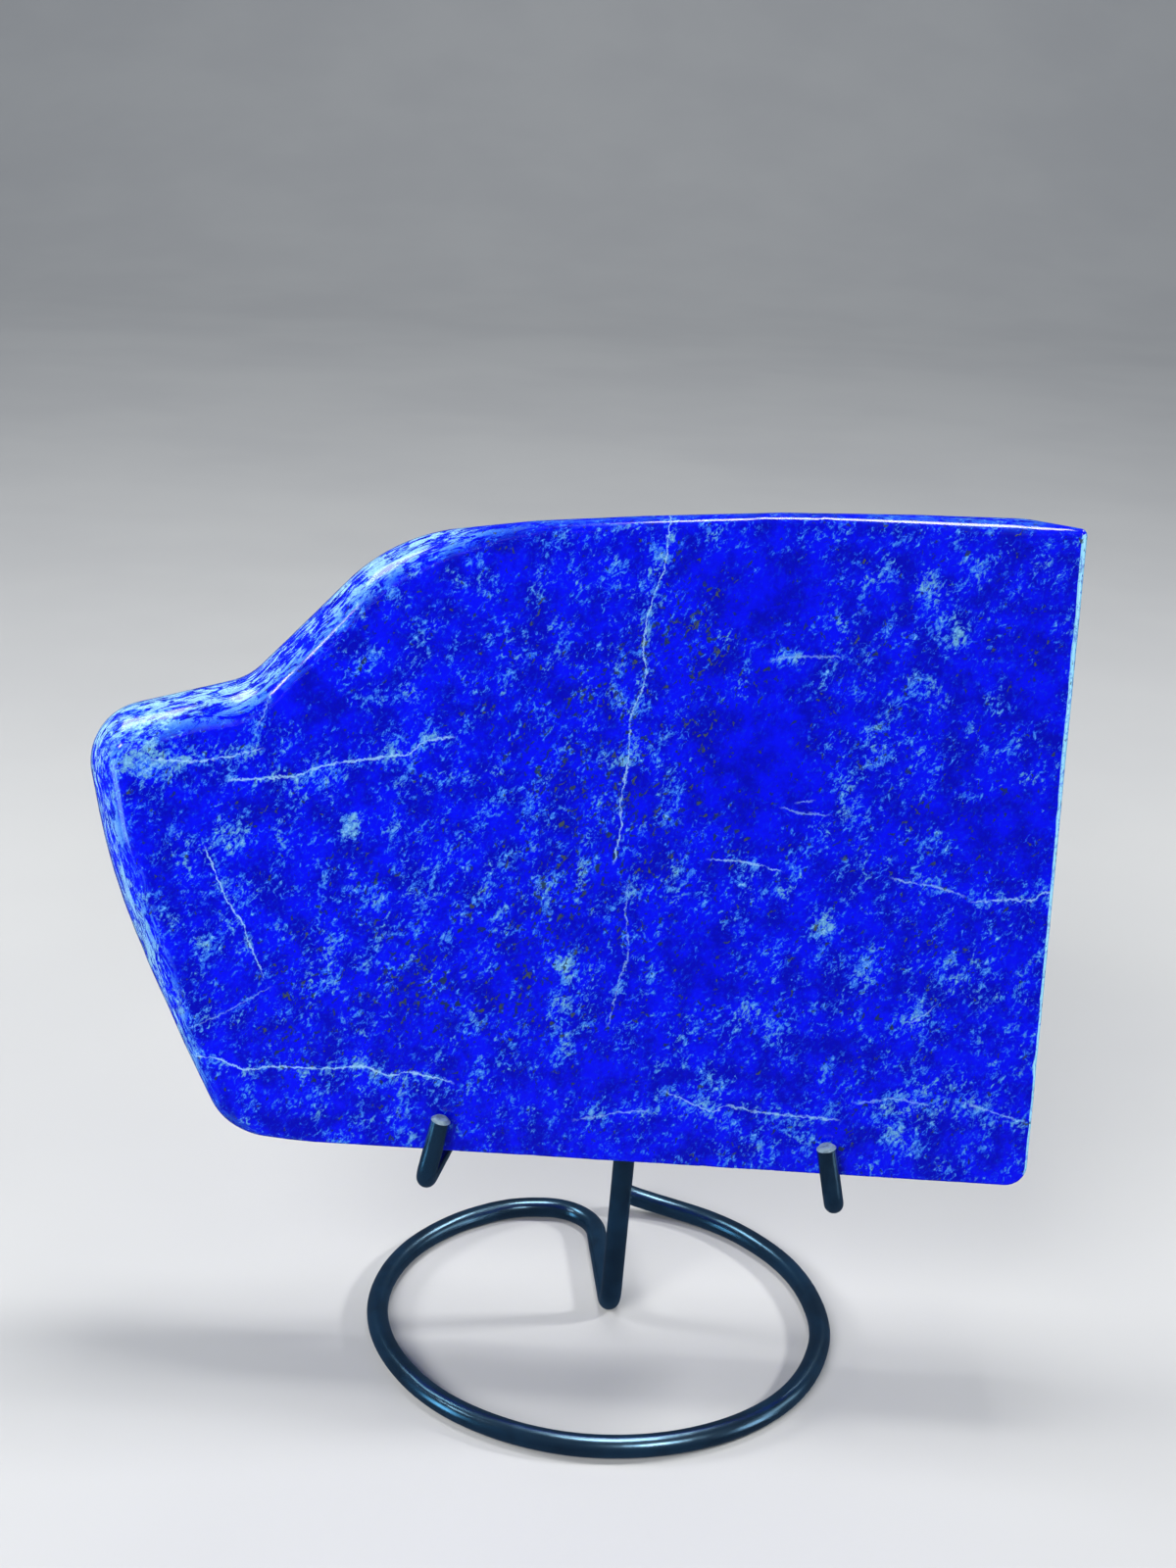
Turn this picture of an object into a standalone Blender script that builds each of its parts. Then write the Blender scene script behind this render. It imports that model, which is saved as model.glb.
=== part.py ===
"""Lapis lazuli slab on a bent-wire display stand.

The stone is one sawn and polished slab that leans back in a cradle. Its left end keeps its natural
rounded outline, and its right side, foot and faces are sawn. The stand is two steel rods: a base rod
that makes the ring, the leg and the post, and a cradle rod that makes the crossbar, the arms and the
hooks. Metres, +Z up, +X to the viewer's right, the viewer at -Y. The origin is on the table, under the
middle of the whole object.
"""
from math import ceil, cos, pi, radians, sin, tan

import bmesh
import bpy
from mathutils import Vector

MM = 0.001
TOUCH_GAP = 0.3 * MM

# Finishes
LAPIS_BLUE = (0.01, 0.03, 0.55)
LAPIS_ROUGHNESS = 0.12
PAINT_BLACK = (0.012, 0.016, 0.024)
PAINT_ROUGHNESS = 0.35

# Rods
BASE_ROD_RADIUS = 2.0 * MM
CRADLE_ROD_RADIUS = 1.75 * MM
ROD_SIDES = 12
BASE_BEND_STEP = radians(9)
CRADLE_BEND_STEP = radians(18)
STRAIGHT_TURN = radians(0.05)

# Base rod: ring, leg and post, measured from the ring's centre. The ring is bent by hand, so its radius
# in millimetres changes a little with the angle in degrees, both listed clockwise from its free end.
RING_RADII = (
    (81, 42.4), (60, 42.6), (35, 42.1), (12, 41.9), (-12, 42.4), (-45, 43.1), (-90, 43.0),
    (-125, 42.5), (-150, 42.2), (-185, 42.6), (-205, 42.7), (-225, 42.5), (-238, 42.2),
)
RING_STEP = radians(5)
FREE_END_SWEEP = radians(40)
FREE_END_RISE = 2.1 * MM
FREE_END_CURL = 4
FREE_END_TWIST = radians(2.28)
LEG_BENDS = ((-17.5 * MM, 38.2 * MM, 18.0 * MM), (-1.9 * MM, 39.2 * MM, 10.5 * MM))
POST_FOOT = (2.0 * MM, 1.4 * MM)
POST_BEND_RADIUS = 4.0 * MM
POST_SIDE_LEAN = radians(2.2)
BACK_REST_LENGTH = 46 * MM
BACK_REST_BEND_RADIUS = 12 * MM

# Slab placement
SLAB_THICKNESS = 20 * MM
SLAB_LEAN = radians(12)
SLAB_YAW = radians(-2)
SLAB_FOOT_HEIGHT = 45.3 * MM
SLAB_SHIFT = 0.8 * MM

# Slab outline seen from the front, anticlockwise from the lower right corner. Each corner holds its
# place across and up in millimetres, the radius of its turn, and how far its edge is rounded inwards.
SLAB_CORNERS = (
    (70.0, 0.0, 3.8, 0.6),
    (72.2, 115.3, 1.3, 1.0),
    (62.0, 116.7, 22.0, 2.0),
    (20.0, 116.0, 600.0, 1.8),
    (-22.0, 112.0, 0.0, 2.6),
    (-47.2, 108.3, 34.0, 6.5),
    (-72.4, 81.8, 13.0, 7.5),
    (-102.5, 73.2, 11.0, 8.0),
    (-94.9, 39.4, 115.0, 8.0),
    (-72.2, 0.0, 11.5, 3.0),
    (-56.0, 0.0, 0.0, 0.6),
)
OUTLINE_STEP = 5 * MM
OUTLINE_TURN = radians(7)
EDGE_BAND_ANGLES = tuple(radians(a) for a in (0, 12, 26, 42, 58, 74, 90))
EDGE_DEPTH_RATIO = 1.25
EDGE_DEPTH_MOST = SLAB_THICKNESS / 2 - 0.5 * MM
SLAB_CREASE = radians(30)

# Cradle rod: hooks, arms and crossbar
HOOK_SPREAD = 36.5 * MM
HOOK_SHIFT = 1.1 * MM
HOOK_HEIGHTS = (13.5 * MM, 12.7 * MM)
HOOK_INWARD_LEANS = (radians(12.3), radians(11.2))
HOOK_BEND_RADIUS = 3.5 * MM
ARM_INWARD_TURNS = (radians(8.0), radians(0.5))
ARM_BEND_RADIUS = 4.0 * MM


def polished_material(name, color, roughness):
    """One Principled BSDF material."""
    material = bpy.data.materials.new(name)
    material.use_nodes = True
    shader = material.node_tree.nodes["Principled BSDF"]
    shader.inputs["Base Color"].default_value = (*color, 1.0)
    shader.inputs["Roughness"].default_value = roughness
    shader.inputs["Metallic"].default_value = 0.0
    return material


def bend_points(before, corner, after, radius, turn_step):
    """Points of the round bend that takes the place of a corner."""
    way_in = (corner - before).normalized()
    way_out = (after - corner).normalized()
    turn = way_in.angle(way_out)
    if radius == 0 or turn < STRAIGHT_TURN:
        return [corner.copy()]
    reach = radius * tan(turn / 2)
    start = corner - way_in * reach
    inward = (way_out - way_in * way_out.dot(way_in)).normalized()
    centre = start + inward * radius
    count = max(2, ceil(turn / turn_step))
    angles = [turn * i / count for i in range(count + 1)]
    return [centre - inward * radius * cos(a) + way_in * radius * sin(a) for a in angles]


def rounded_path(corners, turn_step, closed=False):
    """Path through (point, radius) corners, each turned by its radius, with its corner numbers."""
    points = []
    numbers = []
    for i, (corner, radius) in enumerate(corners):
        is_end = not closed and i in (0, len(corners) - 1)
        if is_end:
            bend = [corner.copy()]
        else:
            before = corners[i - 1][0]
            after = corners[(i + 1) % len(corners)][0]
            bend = bend_points(before, corner, after, radius, turn_step)
        points += bend
        numbers += [i] * len(bend)
    return points, numbers


def rod_object(name, points, radius, material, collection, twist=0.0):
    """A round rod along points, a flat facet facing down on a level run; twist turns its facets."""
    curve = bpy.data.curves.new(name, "CURVE")
    curve.dimensions = "3D"
    curve.bevel_depth = radius / cos(pi / ROD_SIDES)
    curve.bevel_resolution = (ROD_SIDES - 4) // 2
    curve.use_fill_caps = True
    spline = curve.splines.new("POLY")
    spline.points.add(len(points) - 1)
    for spline_point, place in zip(spline.points, points):
        spline_point.co = (*place, 1.0)
        spline_point.tilt = pi / ROD_SIDES + twist
    curve.materials.append(material)
    rod = bpy.data.objects.new(name, curve)
    collection.objects.link(rod)
    return rod


def ring_radius(angle):
    """Radius of the hand-bent ring at an angle, eased between the listed radii."""
    degrees_round = angle / radians(1)
    for (start, first), (end, second) in zip(RING_RADII, RING_RADII[1:]):
        if degrees_round >= end:
            share = (start - degrees_round) / (start - end)
            eased = share * share * (3 - 2 * share)
            return (first + (second - first) * eased) * MM
    return RING_RADII[-1][1] * MM


def ring_point(angle):
    """Centre of the base rod on the ring, angle measured anticlockwise from +X."""
    radius = ring_radius(angle)
    free_end = radians(RING_RADII[0][0])
    lift = max(0.0, 1 - (free_end - angle) / FREE_END_SWEEP)
    height = BASE_ROD_RADIUS + FREE_END_RISE * lift ** FREE_END_CURL
    return Vector((radius * cos(angle), radius * sin(angle), height))


def post_point(height):
    """Centre of the upright post at a height above the table."""
    side = POST_FOOT[0] + (height - BASE_ROD_RADIUS) * tan(POST_SIDE_LEAN)
    return Vector((side, POST_FOOT[1], height))


def slab_back_foot():
    """Distance back and height of the slab's lower back edge, from its lower front edge."""
    return SLAB_THICKNESS * cos(SLAB_LEAN), -SLAB_THICKNESS * sin(SLAB_LEAN)


def post_knee_height():
    """Height at which the post turns back to run along the slab."""
    return SLAB_FOOT_HEIGHT + slab_back_foot()[1]


def slab_front_setback():
    """Distance from the post's axis forward to the slab's lower front edge."""
    clearance = (BASE_ROD_RADIUS + TOUCH_GAP) / cos(SLAB_LEAN)
    return clearance + slab_back_foot()[0]


def crossbar_setback():
    """Distance from the post's axis forward to the crossbar's axis."""
    return BASE_ROD_RADIUS + CRADLE_ROD_RADIUS + TOUCH_GAP


def crossbar_height():
    """Height of the crossbar's axis, with the sawn foot of the slab resting on it."""
    run = slab_front_setback() - crossbar_setback()
    foot_above = SLAB_FOOT_HEIGHT - run * tan(SLAB_LEAN)
    return foot_above - (CRADLE_ROD_RADIUS + TOUCH_GAP) / cos(SLAB_LEAN)


def base_rod_points():
    """The base rod from the ring's free end to the top of the back rest."""
    start = radians(RING_RADII[0][0])
    end = radians(RING_RADII[-1][0])
    steps = ceil((start - end) / RING_STEP)
    corners = [(ring_point(start + (end - start) * i / steps), 0.0) for i in range(steps + 1)]
    corners += [(Vector((x, y, BASE_ROD_RADIUS)), radius) for x, y, radius in LEG_BENDS]
    corners.append((post_point(BASE_ROD_RADIUS), POST_BEND_RADIUS))
    knee = post_point(post_knee_height())
    corners.append((knee, BACK_REST_BEND_RADIUS))
    rise = Vector((sin(POST_SIDE_LEAN), sin(SLAB_LEAN), cos(SLAB_LEAN)))
    corners.append((knee + rise * BACK_REST_LENGTH, 0.0))
    return rounded_path(corners, BASE_BEND_STEP)[0]


def cradle_rod_points():
    """The cradle rod from the left hook's tip to the right one's, round the post's axis."""
    reach = slab_front_setback() + TOUCH_GAP + CRADLE_ROD_RADIUS
    arm_run = reach - crossbar_setback()
    halves = []
    for side, height, lean, turn in zip((-1, 1), HOOK_HEIGHTS, HOOK_INWARD_LEANS, ARM_INWARD_TURNS):
        elbow = Vector((side * HOOK_SPREAD + HOOK_SHIFT, -reach, 0))
        tip = elbow + Vector((-side * height * tan(lean), 0, height))
        shoulder = elbow + Vector((-side * arm_run * tan(turn), arm_run, 0))
        halves.append([(tip, 0.0), (elbow, HOOK_BEND_RADIUS), (shoulder, ARM_BEND_RADIUS)])
    corners = halves[0] + halves[1][::-1]
    return rounded_path(corners, CRADLE_BEND_STEP)[0]


def slab_outline():
    """The slab's widest outline as (across, up, edge rounding) in metres."""
    corners = [(Vector((x * MM, z * MM, 0)), radius * MM) for x, z, radius, rounding in SLAB_CORNERS]
    points, numbers = rounded_path(corners, OUTLINE_TURN, closed=True)
    marks = []
    for i in range(len(SLAB_CORNERS)):
        own = [k for k, number in enumerate(numbers) if number == i]
        marks.append(own[len(own) // 2])
    distances = [0.0]
    for a, b in zip(points, points[1:] + points[:1]):
        distances.append(distances[-1] + (b - a).length)
    around = distances[-1]
    stations = [distances[k] for k in marks]
    roundings = [corner[3] * MM for corner in SLAB_CORNERS]
    outline = []
    for i, a in enumerate(points):
        b = points[(i + 1) % len(points)]
        pieces = max(1, round((b - a).length / OUTLINE_STEP))
        for j in range(pieces):
            share = j / pieces
            along = distances[i] + (distances[i + 1] - distances[i]) * share
            place = a.lerp(b, share)
            outline.append((place.x, place.y, rounding_at(along, stations, roundings, around)))
    return outline


def rounding_at(along, stations, roundings, around):
    """Edge rounding at a distance along the outline, eased between the corners' values."""
    for i, start in enumerate(stations):
        end = stations[(i + 1) % len(stations)]
        length = (end - start) % around
        offset = (along - start) % around
        if offset <= length:
            share = offset / length
            eased = share * share * (3 - 2 * share)
            following = roundings[(i + 1) % len(roundings)]
            return roundings[i] + (following - roundings[i]) * eased
    return roundings[0]


def outline_normals(outline):
    """Inward unit normals of an anticlockwise outline."""
    normals = []
    for i in range(len(outline)):
        before = Vector(outline[i - 1][:2])
        here = Vector(outline[i][:2])
        after = Vector(outline[(i + 1) % len(outline)][:2])
        heading = (here - before).normalized() + (after - here).normalized()
        normals.append(Vector((-heading.y, heading.x)).normalized())
    return normals


def slab_section(rounding):
    """The slab's edge from front to back as (inset, depth) pairs for one edge rounding."""
    depth = min(rounding * EDGE_DEPTH_RATIO, EDGE_DEPTH_MOST)
    front = [(rounding * (1 - sin(a)), depth * (1 - cos(a))) for a in EDGE_BAND_ANGLES]
    back = [(inset, SLAB_THICKNESS - reach) for inset, reach in reversed(front)]
    return front + back


def slab_object(name, material, collection):
    """The stone: rings of the outline lofted from the front face to the back one."""
    outline = slab_outline()
    normals = outline_normals(outline)
    sections = [slab_section(rounding) for across, up, rounding in outline]
    shape = bmesh.new()
    rings = []
    for level in range(len(sections[0])):
        ring = []
        for (across, up, rounding), normal, section in zip(outline, normals, sections):
            inset, depth = section[level]
            ring.append(shape.verts.new((across + normal.x * inset, depth, up + normal.y * inset)))
        edges = [shape.edges.new((ring[i - 1], ring[i])) for i in range(len(ring))]
        rings.append(edges)
    for front, back in zip(rings, rings[1:]):
        bmesh.ops.bridge_loops(shape, edges=front + back)
    for ring in (rings[0], rings[-1]):
        bmesh.ops.edgeloop_fill(shape, edges=ring)
    bmesh.ops.recalc_face_normals(shape, faces=shape.faces)
    mesh = bpy.data.meshes.new(name)
    shape.to_mesh(mesh)
    shape.free()
    mesh.materials.append(material)
    mesh.shade_smooth()
    mesh.set_sharp_from_angle(angle=SLAB_CREASE)
    slab = bpy.data.objects.new(name, mesh)
    collection.objects.link(slab)
    return slab


def empty_object(name, location, collection, parent=None):
    """An empty that places what hangs under it."""
    empty = bpy.data.objects.new(name, None)
    empty.location = location
    empty.parent = parent
    collection.objects.link(empty)
    return empty


def stand_over_origin(frame, parts):
    """Moves the frame so that the parts stand on the table, the middle of their box over the origin."""
    bpy.context.view_layer.update()
    depsgraph = bpy.context.evaluated_depsgraph_get()
    places = []
    for part in parts:
        evaluated = part.evaluated_get(depsgraph)
        mesh = evaluated.to_mesh()
        places += [evaluated.matrix_world @ vertex.co for vertex in mesh.vertices]
        evaluated.to_mesh_clear()
    for axis in (0, 1):
        values = [place[axis] for place in places]
        frame.location[axis] -= (min(values) + max(values)) / 2
    frame.location.z -= min(place.z for place in places)


def build_specimen():
    """Builds the slab and its stand."""
    for old in list(bpy.data.objects):
        bpy.data.objects.remove(old)
    specimen = bpy.data.collections.new("lapis_lazuli_slab_on_stand")
    bpy.context.scene.collection.children.link(specimen)
    lapis = polished_material("lapis", LAPIS_BLUE, LAPIS_ROUGHNESS)
    paint = polished_material("black_wire", PAINT_BLACK, PAINT_ROUGHNESS)

    stand_frame = empty_object("stand_frame", (0, 0, 0), specimen)
    base_points = base_rod_points()
    base_wire = rod_object(
        "base_wire", base_points, BASE_ROD_RADIUS, paint, specimen, twist=FREE_END_TWIST)
    base_wire.parent = stand_frame

    cradle_frame = empty_object("cradle_frame", post_point(crossbar_height()), specimen, stand_frame)
    cradle_frame.rotation_euler = (0, 0, SLAB_YAW)
    cradle_wire = rod_object("cradle_wire", cradle_rod_points(), CRADLE_ROD_RADIUS, paint, specimen)
    cradle_wire.parent = cradle_frame

    slab_place = (SLAB_SHIFT, -slab_front_setback(), SLAB_FOOT_HEIGHT - crossbar_height())
    slab_frame = empty_object("slab_frame", slab_place, specimen, cradle_frame)
    slab_frame.rotation_euler = (-SLAB_LEAN, 0, 0)
    lapis_slab = slab_object("lapis_slab", lapis, specimen)
    lapis_slab.parent = slab_frame

    stand_over_origin(stand_frame, (base_wire, cradle_wire, lapis_slab))


build_specimen()
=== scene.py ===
"""Looks of a polished lapis lazuli slab that leans in the hooks of a bent black wire stand."""
import logging
from dataclasses import dataclass, field
from enum import Enum
from math import ceil, cos, pi, radians, sin, tan

import bmesh
import bpy
from mathutils import Euler, Matrix, Vector, noise


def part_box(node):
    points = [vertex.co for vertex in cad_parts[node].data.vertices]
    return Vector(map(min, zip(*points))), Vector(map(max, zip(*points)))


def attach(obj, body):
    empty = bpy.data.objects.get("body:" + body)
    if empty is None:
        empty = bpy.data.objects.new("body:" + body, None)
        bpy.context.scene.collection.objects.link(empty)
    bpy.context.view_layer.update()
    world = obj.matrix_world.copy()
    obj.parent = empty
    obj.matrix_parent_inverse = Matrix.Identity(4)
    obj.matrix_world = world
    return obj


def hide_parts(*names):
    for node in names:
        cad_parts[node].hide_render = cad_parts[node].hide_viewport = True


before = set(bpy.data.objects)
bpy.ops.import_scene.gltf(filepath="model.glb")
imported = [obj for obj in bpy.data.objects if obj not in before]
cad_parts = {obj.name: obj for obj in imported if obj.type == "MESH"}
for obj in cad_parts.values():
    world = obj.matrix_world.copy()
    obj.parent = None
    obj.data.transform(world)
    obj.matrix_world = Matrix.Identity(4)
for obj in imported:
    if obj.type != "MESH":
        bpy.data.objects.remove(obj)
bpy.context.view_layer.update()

LOG = logging.getLogger("lapis_slab")
MM = 0.001
RIM_NAME = "rim"
RUN_NAME = "edge_run"
SAWN_NAME = "sawn_corner"
MERGE_SHARE = 0.01
STRAIGHT = radians(0.05)
ROD_CREASE = radians(35)
ROD_GAP = 1.5 * MM
NODES_PER_ROW = 24
NODE_GAP = (200, 320)
USUAL_NOISE = (0.35, 0.65)
Corner = tuple[Vector, float]
Color = tuple[float, float, float]
Triple = tuple[float, float, float]
Span = tuple[float, float]
Level = tuple[float, float, float]
Socket = bpy.types.NodeSocket
Signal = bpy.types.NodeSocket | float


class Axis(Enum):
    """The slab axis that a vein mostly runs along."""

    ACROSS = "X"
    UP = "Z"


class LightRole(Enum):
    """What a studio light is for: soft light on the surfaces, or its own reflection in the polish."""

    BODY = "body"
    GLINT = "glint"


class Slot(Enum):
    """The record's material slots."""

    LAPIS = "lapis"
    WIRE = "black_wire"


# Mesh tools


def deselect_everything() -> None:
    """Leaves object mode and deselects all objects."""
    if bpy.context.object and bpy.context.object.mode != "OBJECT":
        bpy.ops.object.mode_set(mode="OBJECT")
    bpy.ops.object.select_all(action="DESELECT")


def make_active(piece: bpy.types.Object) -> None:
    """Makes one object the only selected one.

    Args:
        piece: The object.
    """
    deselect_everything()
    piece.select_set(True)
    bpy.context.view_layer.objects.active = piece


def settle_at_origin(piece: bpy.types.Object, matrix: Matrix) -> None:
    """Puts a piece's place into its mesh, so that its object stays at the origin.

    Args:
        piece: The mesh object.
        matrix: Its place in the frame.
    """
    piece.data.transform(matrix @ piece.matrix_basis)
    piece.matrix_basis = Matrix.Identity(4)
    piece.data.update()


def eased(share: float) -> float:
    """A share from 0 to 1 with a soft start and end."""
    return share * share * (3 - 2 * share)


def bend_points(
    before: Vector, corner: Vector, after: Vector, radius: float, step: float
) -> list[Vector]:
    """Points of the round bend that takes the place of a corner.

    Args:
        before: The corner before this one.
        corner: The corner that is rounded.
        after: The corner after this one.
        radius: Radius of the bend.
        step: Largest turn between two points.

    Returns:
        The bend's points from start to end, or the corner alone where it is sharp.
    """
    way_in = (corner - before).normalized()
    way_out = (after - corner).normalized()
    turn = way_in.angle(way_out)
    if radius == 0 or turn < STRAIGHT:
        return [corner.copy()]
    start = corner - way_in * radius * tan(turn / 2)
    inward = (way_out - way_in * way_out.dot(way_in)).normalized()
    centre = start + inward * radius
    count = max(2, ceil(turn / step))
    angles = [turn * i / count for i in range(count + 1)]
    return [centre - inward * radius * cos(a) + way_in * radius * sin(a) for a in angles]


def rounded_path(
    corners: list[Corner], step: float, closed: bool = False
) -> tuple[list[Vector], list[int]]:
    """Path through corners, each turned by its radius.

    Args:
        corners: (place, bend radius) pairs.
        step: Largest turn between two points.
        closed: Whether the path returns to its start.

    Returns:
        The path's points and, for each, the number of its corner.
    """
    points: list[Vector] = []
    numbers: list[int] = []
    for i, (corner, radius) in enumerate(corners):
        if not closed and i in (0, len(corners) - 1):
            bend = [corner.copy()]
        else:
            following = corners[(i + 1) % len(corners)][0]
            bend = bend_points(corners[i - 1][0], corner, following, radius, step)
        points += bend
        numbers += [i] * len(bend)
    return points, numbers


def evenly_spaced(points: list[Vector], gap: float) -> list[Vector]:
    """Adds points to the long straight runs of a path.

    Args:
        points: The path.
        gap: Largest distance between two points.

    Returns:
        The path with its long runs cut into equal pieces.
    """
    spaced = [points[0]]
    for a, b in zip(points, points[1:]):
        pieces = max(1, ceil((b - a).length / gap))
        spaced += [a.lerp(b, (k + 1) / pieces) for k in range(pieces)]
    return spaced


def rod_from_route(
    name: str, route: list[Vector], radius: float, sides: int, end_chamfer: float
) -> bpy.types.Object:
    """A round rod along a route, its cut ends chamfered.

    Args:
        name: The piece's name.
        route: Centre points of the rod.
        radius: The rod's radius.
        sides: Sides of its section, a multiple of four.
        end_chamfer: Width of the chamfer round each cut end.

    Returns:
        The rod as a mesh object.
    """
    deselect_everything()
    bpy.ops.curve.primitive_nurbs_path_add()
    rod = bpy.context.object
    rod.name = name
    curve = rod.data
    curve.splines.clear()
    spline = curve.splines.new("POLY")
    spline.points.add(len(route) - 1)
    for spline_point, place in zip(spline.points, route):
        spline_point.co = (*place, 1.0)
    curve.bevel_depth = radius
    curve.bevel_resolution = (sides - 4) // 2
    curve.use_fill_caps = True
    bpy.ops.object.convert(target="MESH")
    make_active(rod)
    bpy.ops.object.mode_set(mode="EDIT")
    bpy.ops.mesh.select_all(action="SELECT")
    bpy.ops.mesh.remove_doubles(threshold=radius * MERGE_SHARE)
    bpy.ops.mesh.normals_make_consistent(inside=False)
    bpy.ops.mesh.select_all(action="DESELECT")
    # Only the caps come in triangles
    shape = bmesh.from_edit_mesh(rod.data)
    for face in shape.faces:
        face.select_set(len(face.verts) == 3)
    bmesh.update_edit_mesh(rod.data)
    bpy.ops.mesh.dissolve_faces()
    bpy.ops.mesh.bevel(offset=end_chamfer, segments=1, affect="EDGES")
    bpy.ops.object.mode_set(mode="OBJECT")
    rod.data.name = name
    bpy.ops.object.shade_smooth_by_angle(angle=ROD_CREASE)
    return rod


def cut_faces(rod: bpy.types.Object) -> list[int]:
    """Finds a rod's cut ends: the flat faces that close it and the chamfers round them.

    Args:
        rod: The rod.

    Returns:
        The faces' numbers.
    """
    caps = [face for face in rod.data.polygons if len(face.vertices) > 4]
    edge_points = {number for face in caps for number in face.vertices}
    return [face.index for face in rod.data.polygons if edge_points.intersection(face.vertices)]


# The stand's dimensions


@dataclass(frozen=True)
class StandPlan:
    """Driving dimensions of the stand and where the slab stands on it."""

    touch_gap: float = 0.3 * MM
    base_radius: float = 2.0 * MM
    cradle_radius: float = 1.75 * MM
    ring_reach_left: float = 44.55 * MM
    ring_reach_front: float = 45.0 * MM
    post_foot: tuple[float, float] = (2.0 * MM, 1.4 * MM)
    post_side_lean: float = radians(2.2)
    slab_thickness: float = 20 * MM
    slab_lean: float = radians(12)
    slab_yaw: float = radians(-2)
    slab_foot_height: float = 45.3 * MM
    slab_shift: float = 0.8 * MM

    def ring_centre(self) -> Vector:
        """Middle of the ring on the table, from the frame's own box of the base wire."""
        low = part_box("base_wire")[0]
        return Vector((low.x + self.ring_reach_left, low.y + self.ring_reach_front, 0))

    def post_point(self, height: float) -> Vector:
        """Centre of the upright post at a height, from the ring's middle."""
        side = self.post_foot[0] + (height - self.base_radius) * tan(self.post_side_lean)
        return Vector((side, self.post_foot[1], height))

    def knee_height(self) -> float:
        """Height at which the post turns back to run along the slab."""
        return self.slab_foot_height - self.slab_thickness * sin(self.slab_lean)

    def slab_setback(self) -> float:
        """Distance from the post's axis forward to the slab's lower front edge."""
        clearance = (self.base_radius + self.touch_gap) / cos(self.slab_lean)
        return clearance + self.slab_thickness * cos(self.slab_lean)

    def bar_setback(self) -> float:
        """Distance from the post's axis forward to the crossbar's axis."""
        return self.base_radius + self.cradle_radius + self.touch_gap

    def bar_height(self) -> float:
        """Height of the crossbar, which the slab's sawn foot rests on.

        Returns:
            The height of the crossbar's axis.
        """
        run = self.slab_setback() - self.bar_setback()
        foot_above = self.slab_foot_height - run * tan(self.slab_lean)
        return foot_above - (self.cradle_radius + self.touch_gap) / cos(self.slab_lean)

    def cradle_matrix(self) -> Matrix:
        """Place of the cradle's own axes in the frame."""
        place = self.ring_centre() + self.post_point(self.bar_height())
        return Matrix.Translation(place) @ Matrix.Rotation(self.slab_yaw, 4, "Z")

    def slab_turn(self) -> Euler:
        """The slab's rotation in the frame."""
        return Euler((-self.slab_lean, 0, self.slab_yaw), "XYZ")

    def slab_place(self) -> Vector:
        """The slab's lower front edge in the frame, where its own axes start."""
        height = self.slab_foot_height - self.bar_height()
        return self.cradle_matrix() @ Vector((self.slab_shift, -self.slab_setback(), height))

    def slab_matrix(self) -> Matrix:
        """Place of the slab's own axes in the frame."""
        return Matrix.Translation(self.slab_place()) @ self.slab_turn().to_matrix().to_4x4()


# Node wiring


@dataclass(frozen=True)
class Grain:
    """Settings of a fractal noise: scale, number of octaves, how rough it is and how warped."""

    scale: Signal
    detail: float = 4
    rough: float = 0.55
    warp: float = 0


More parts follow.
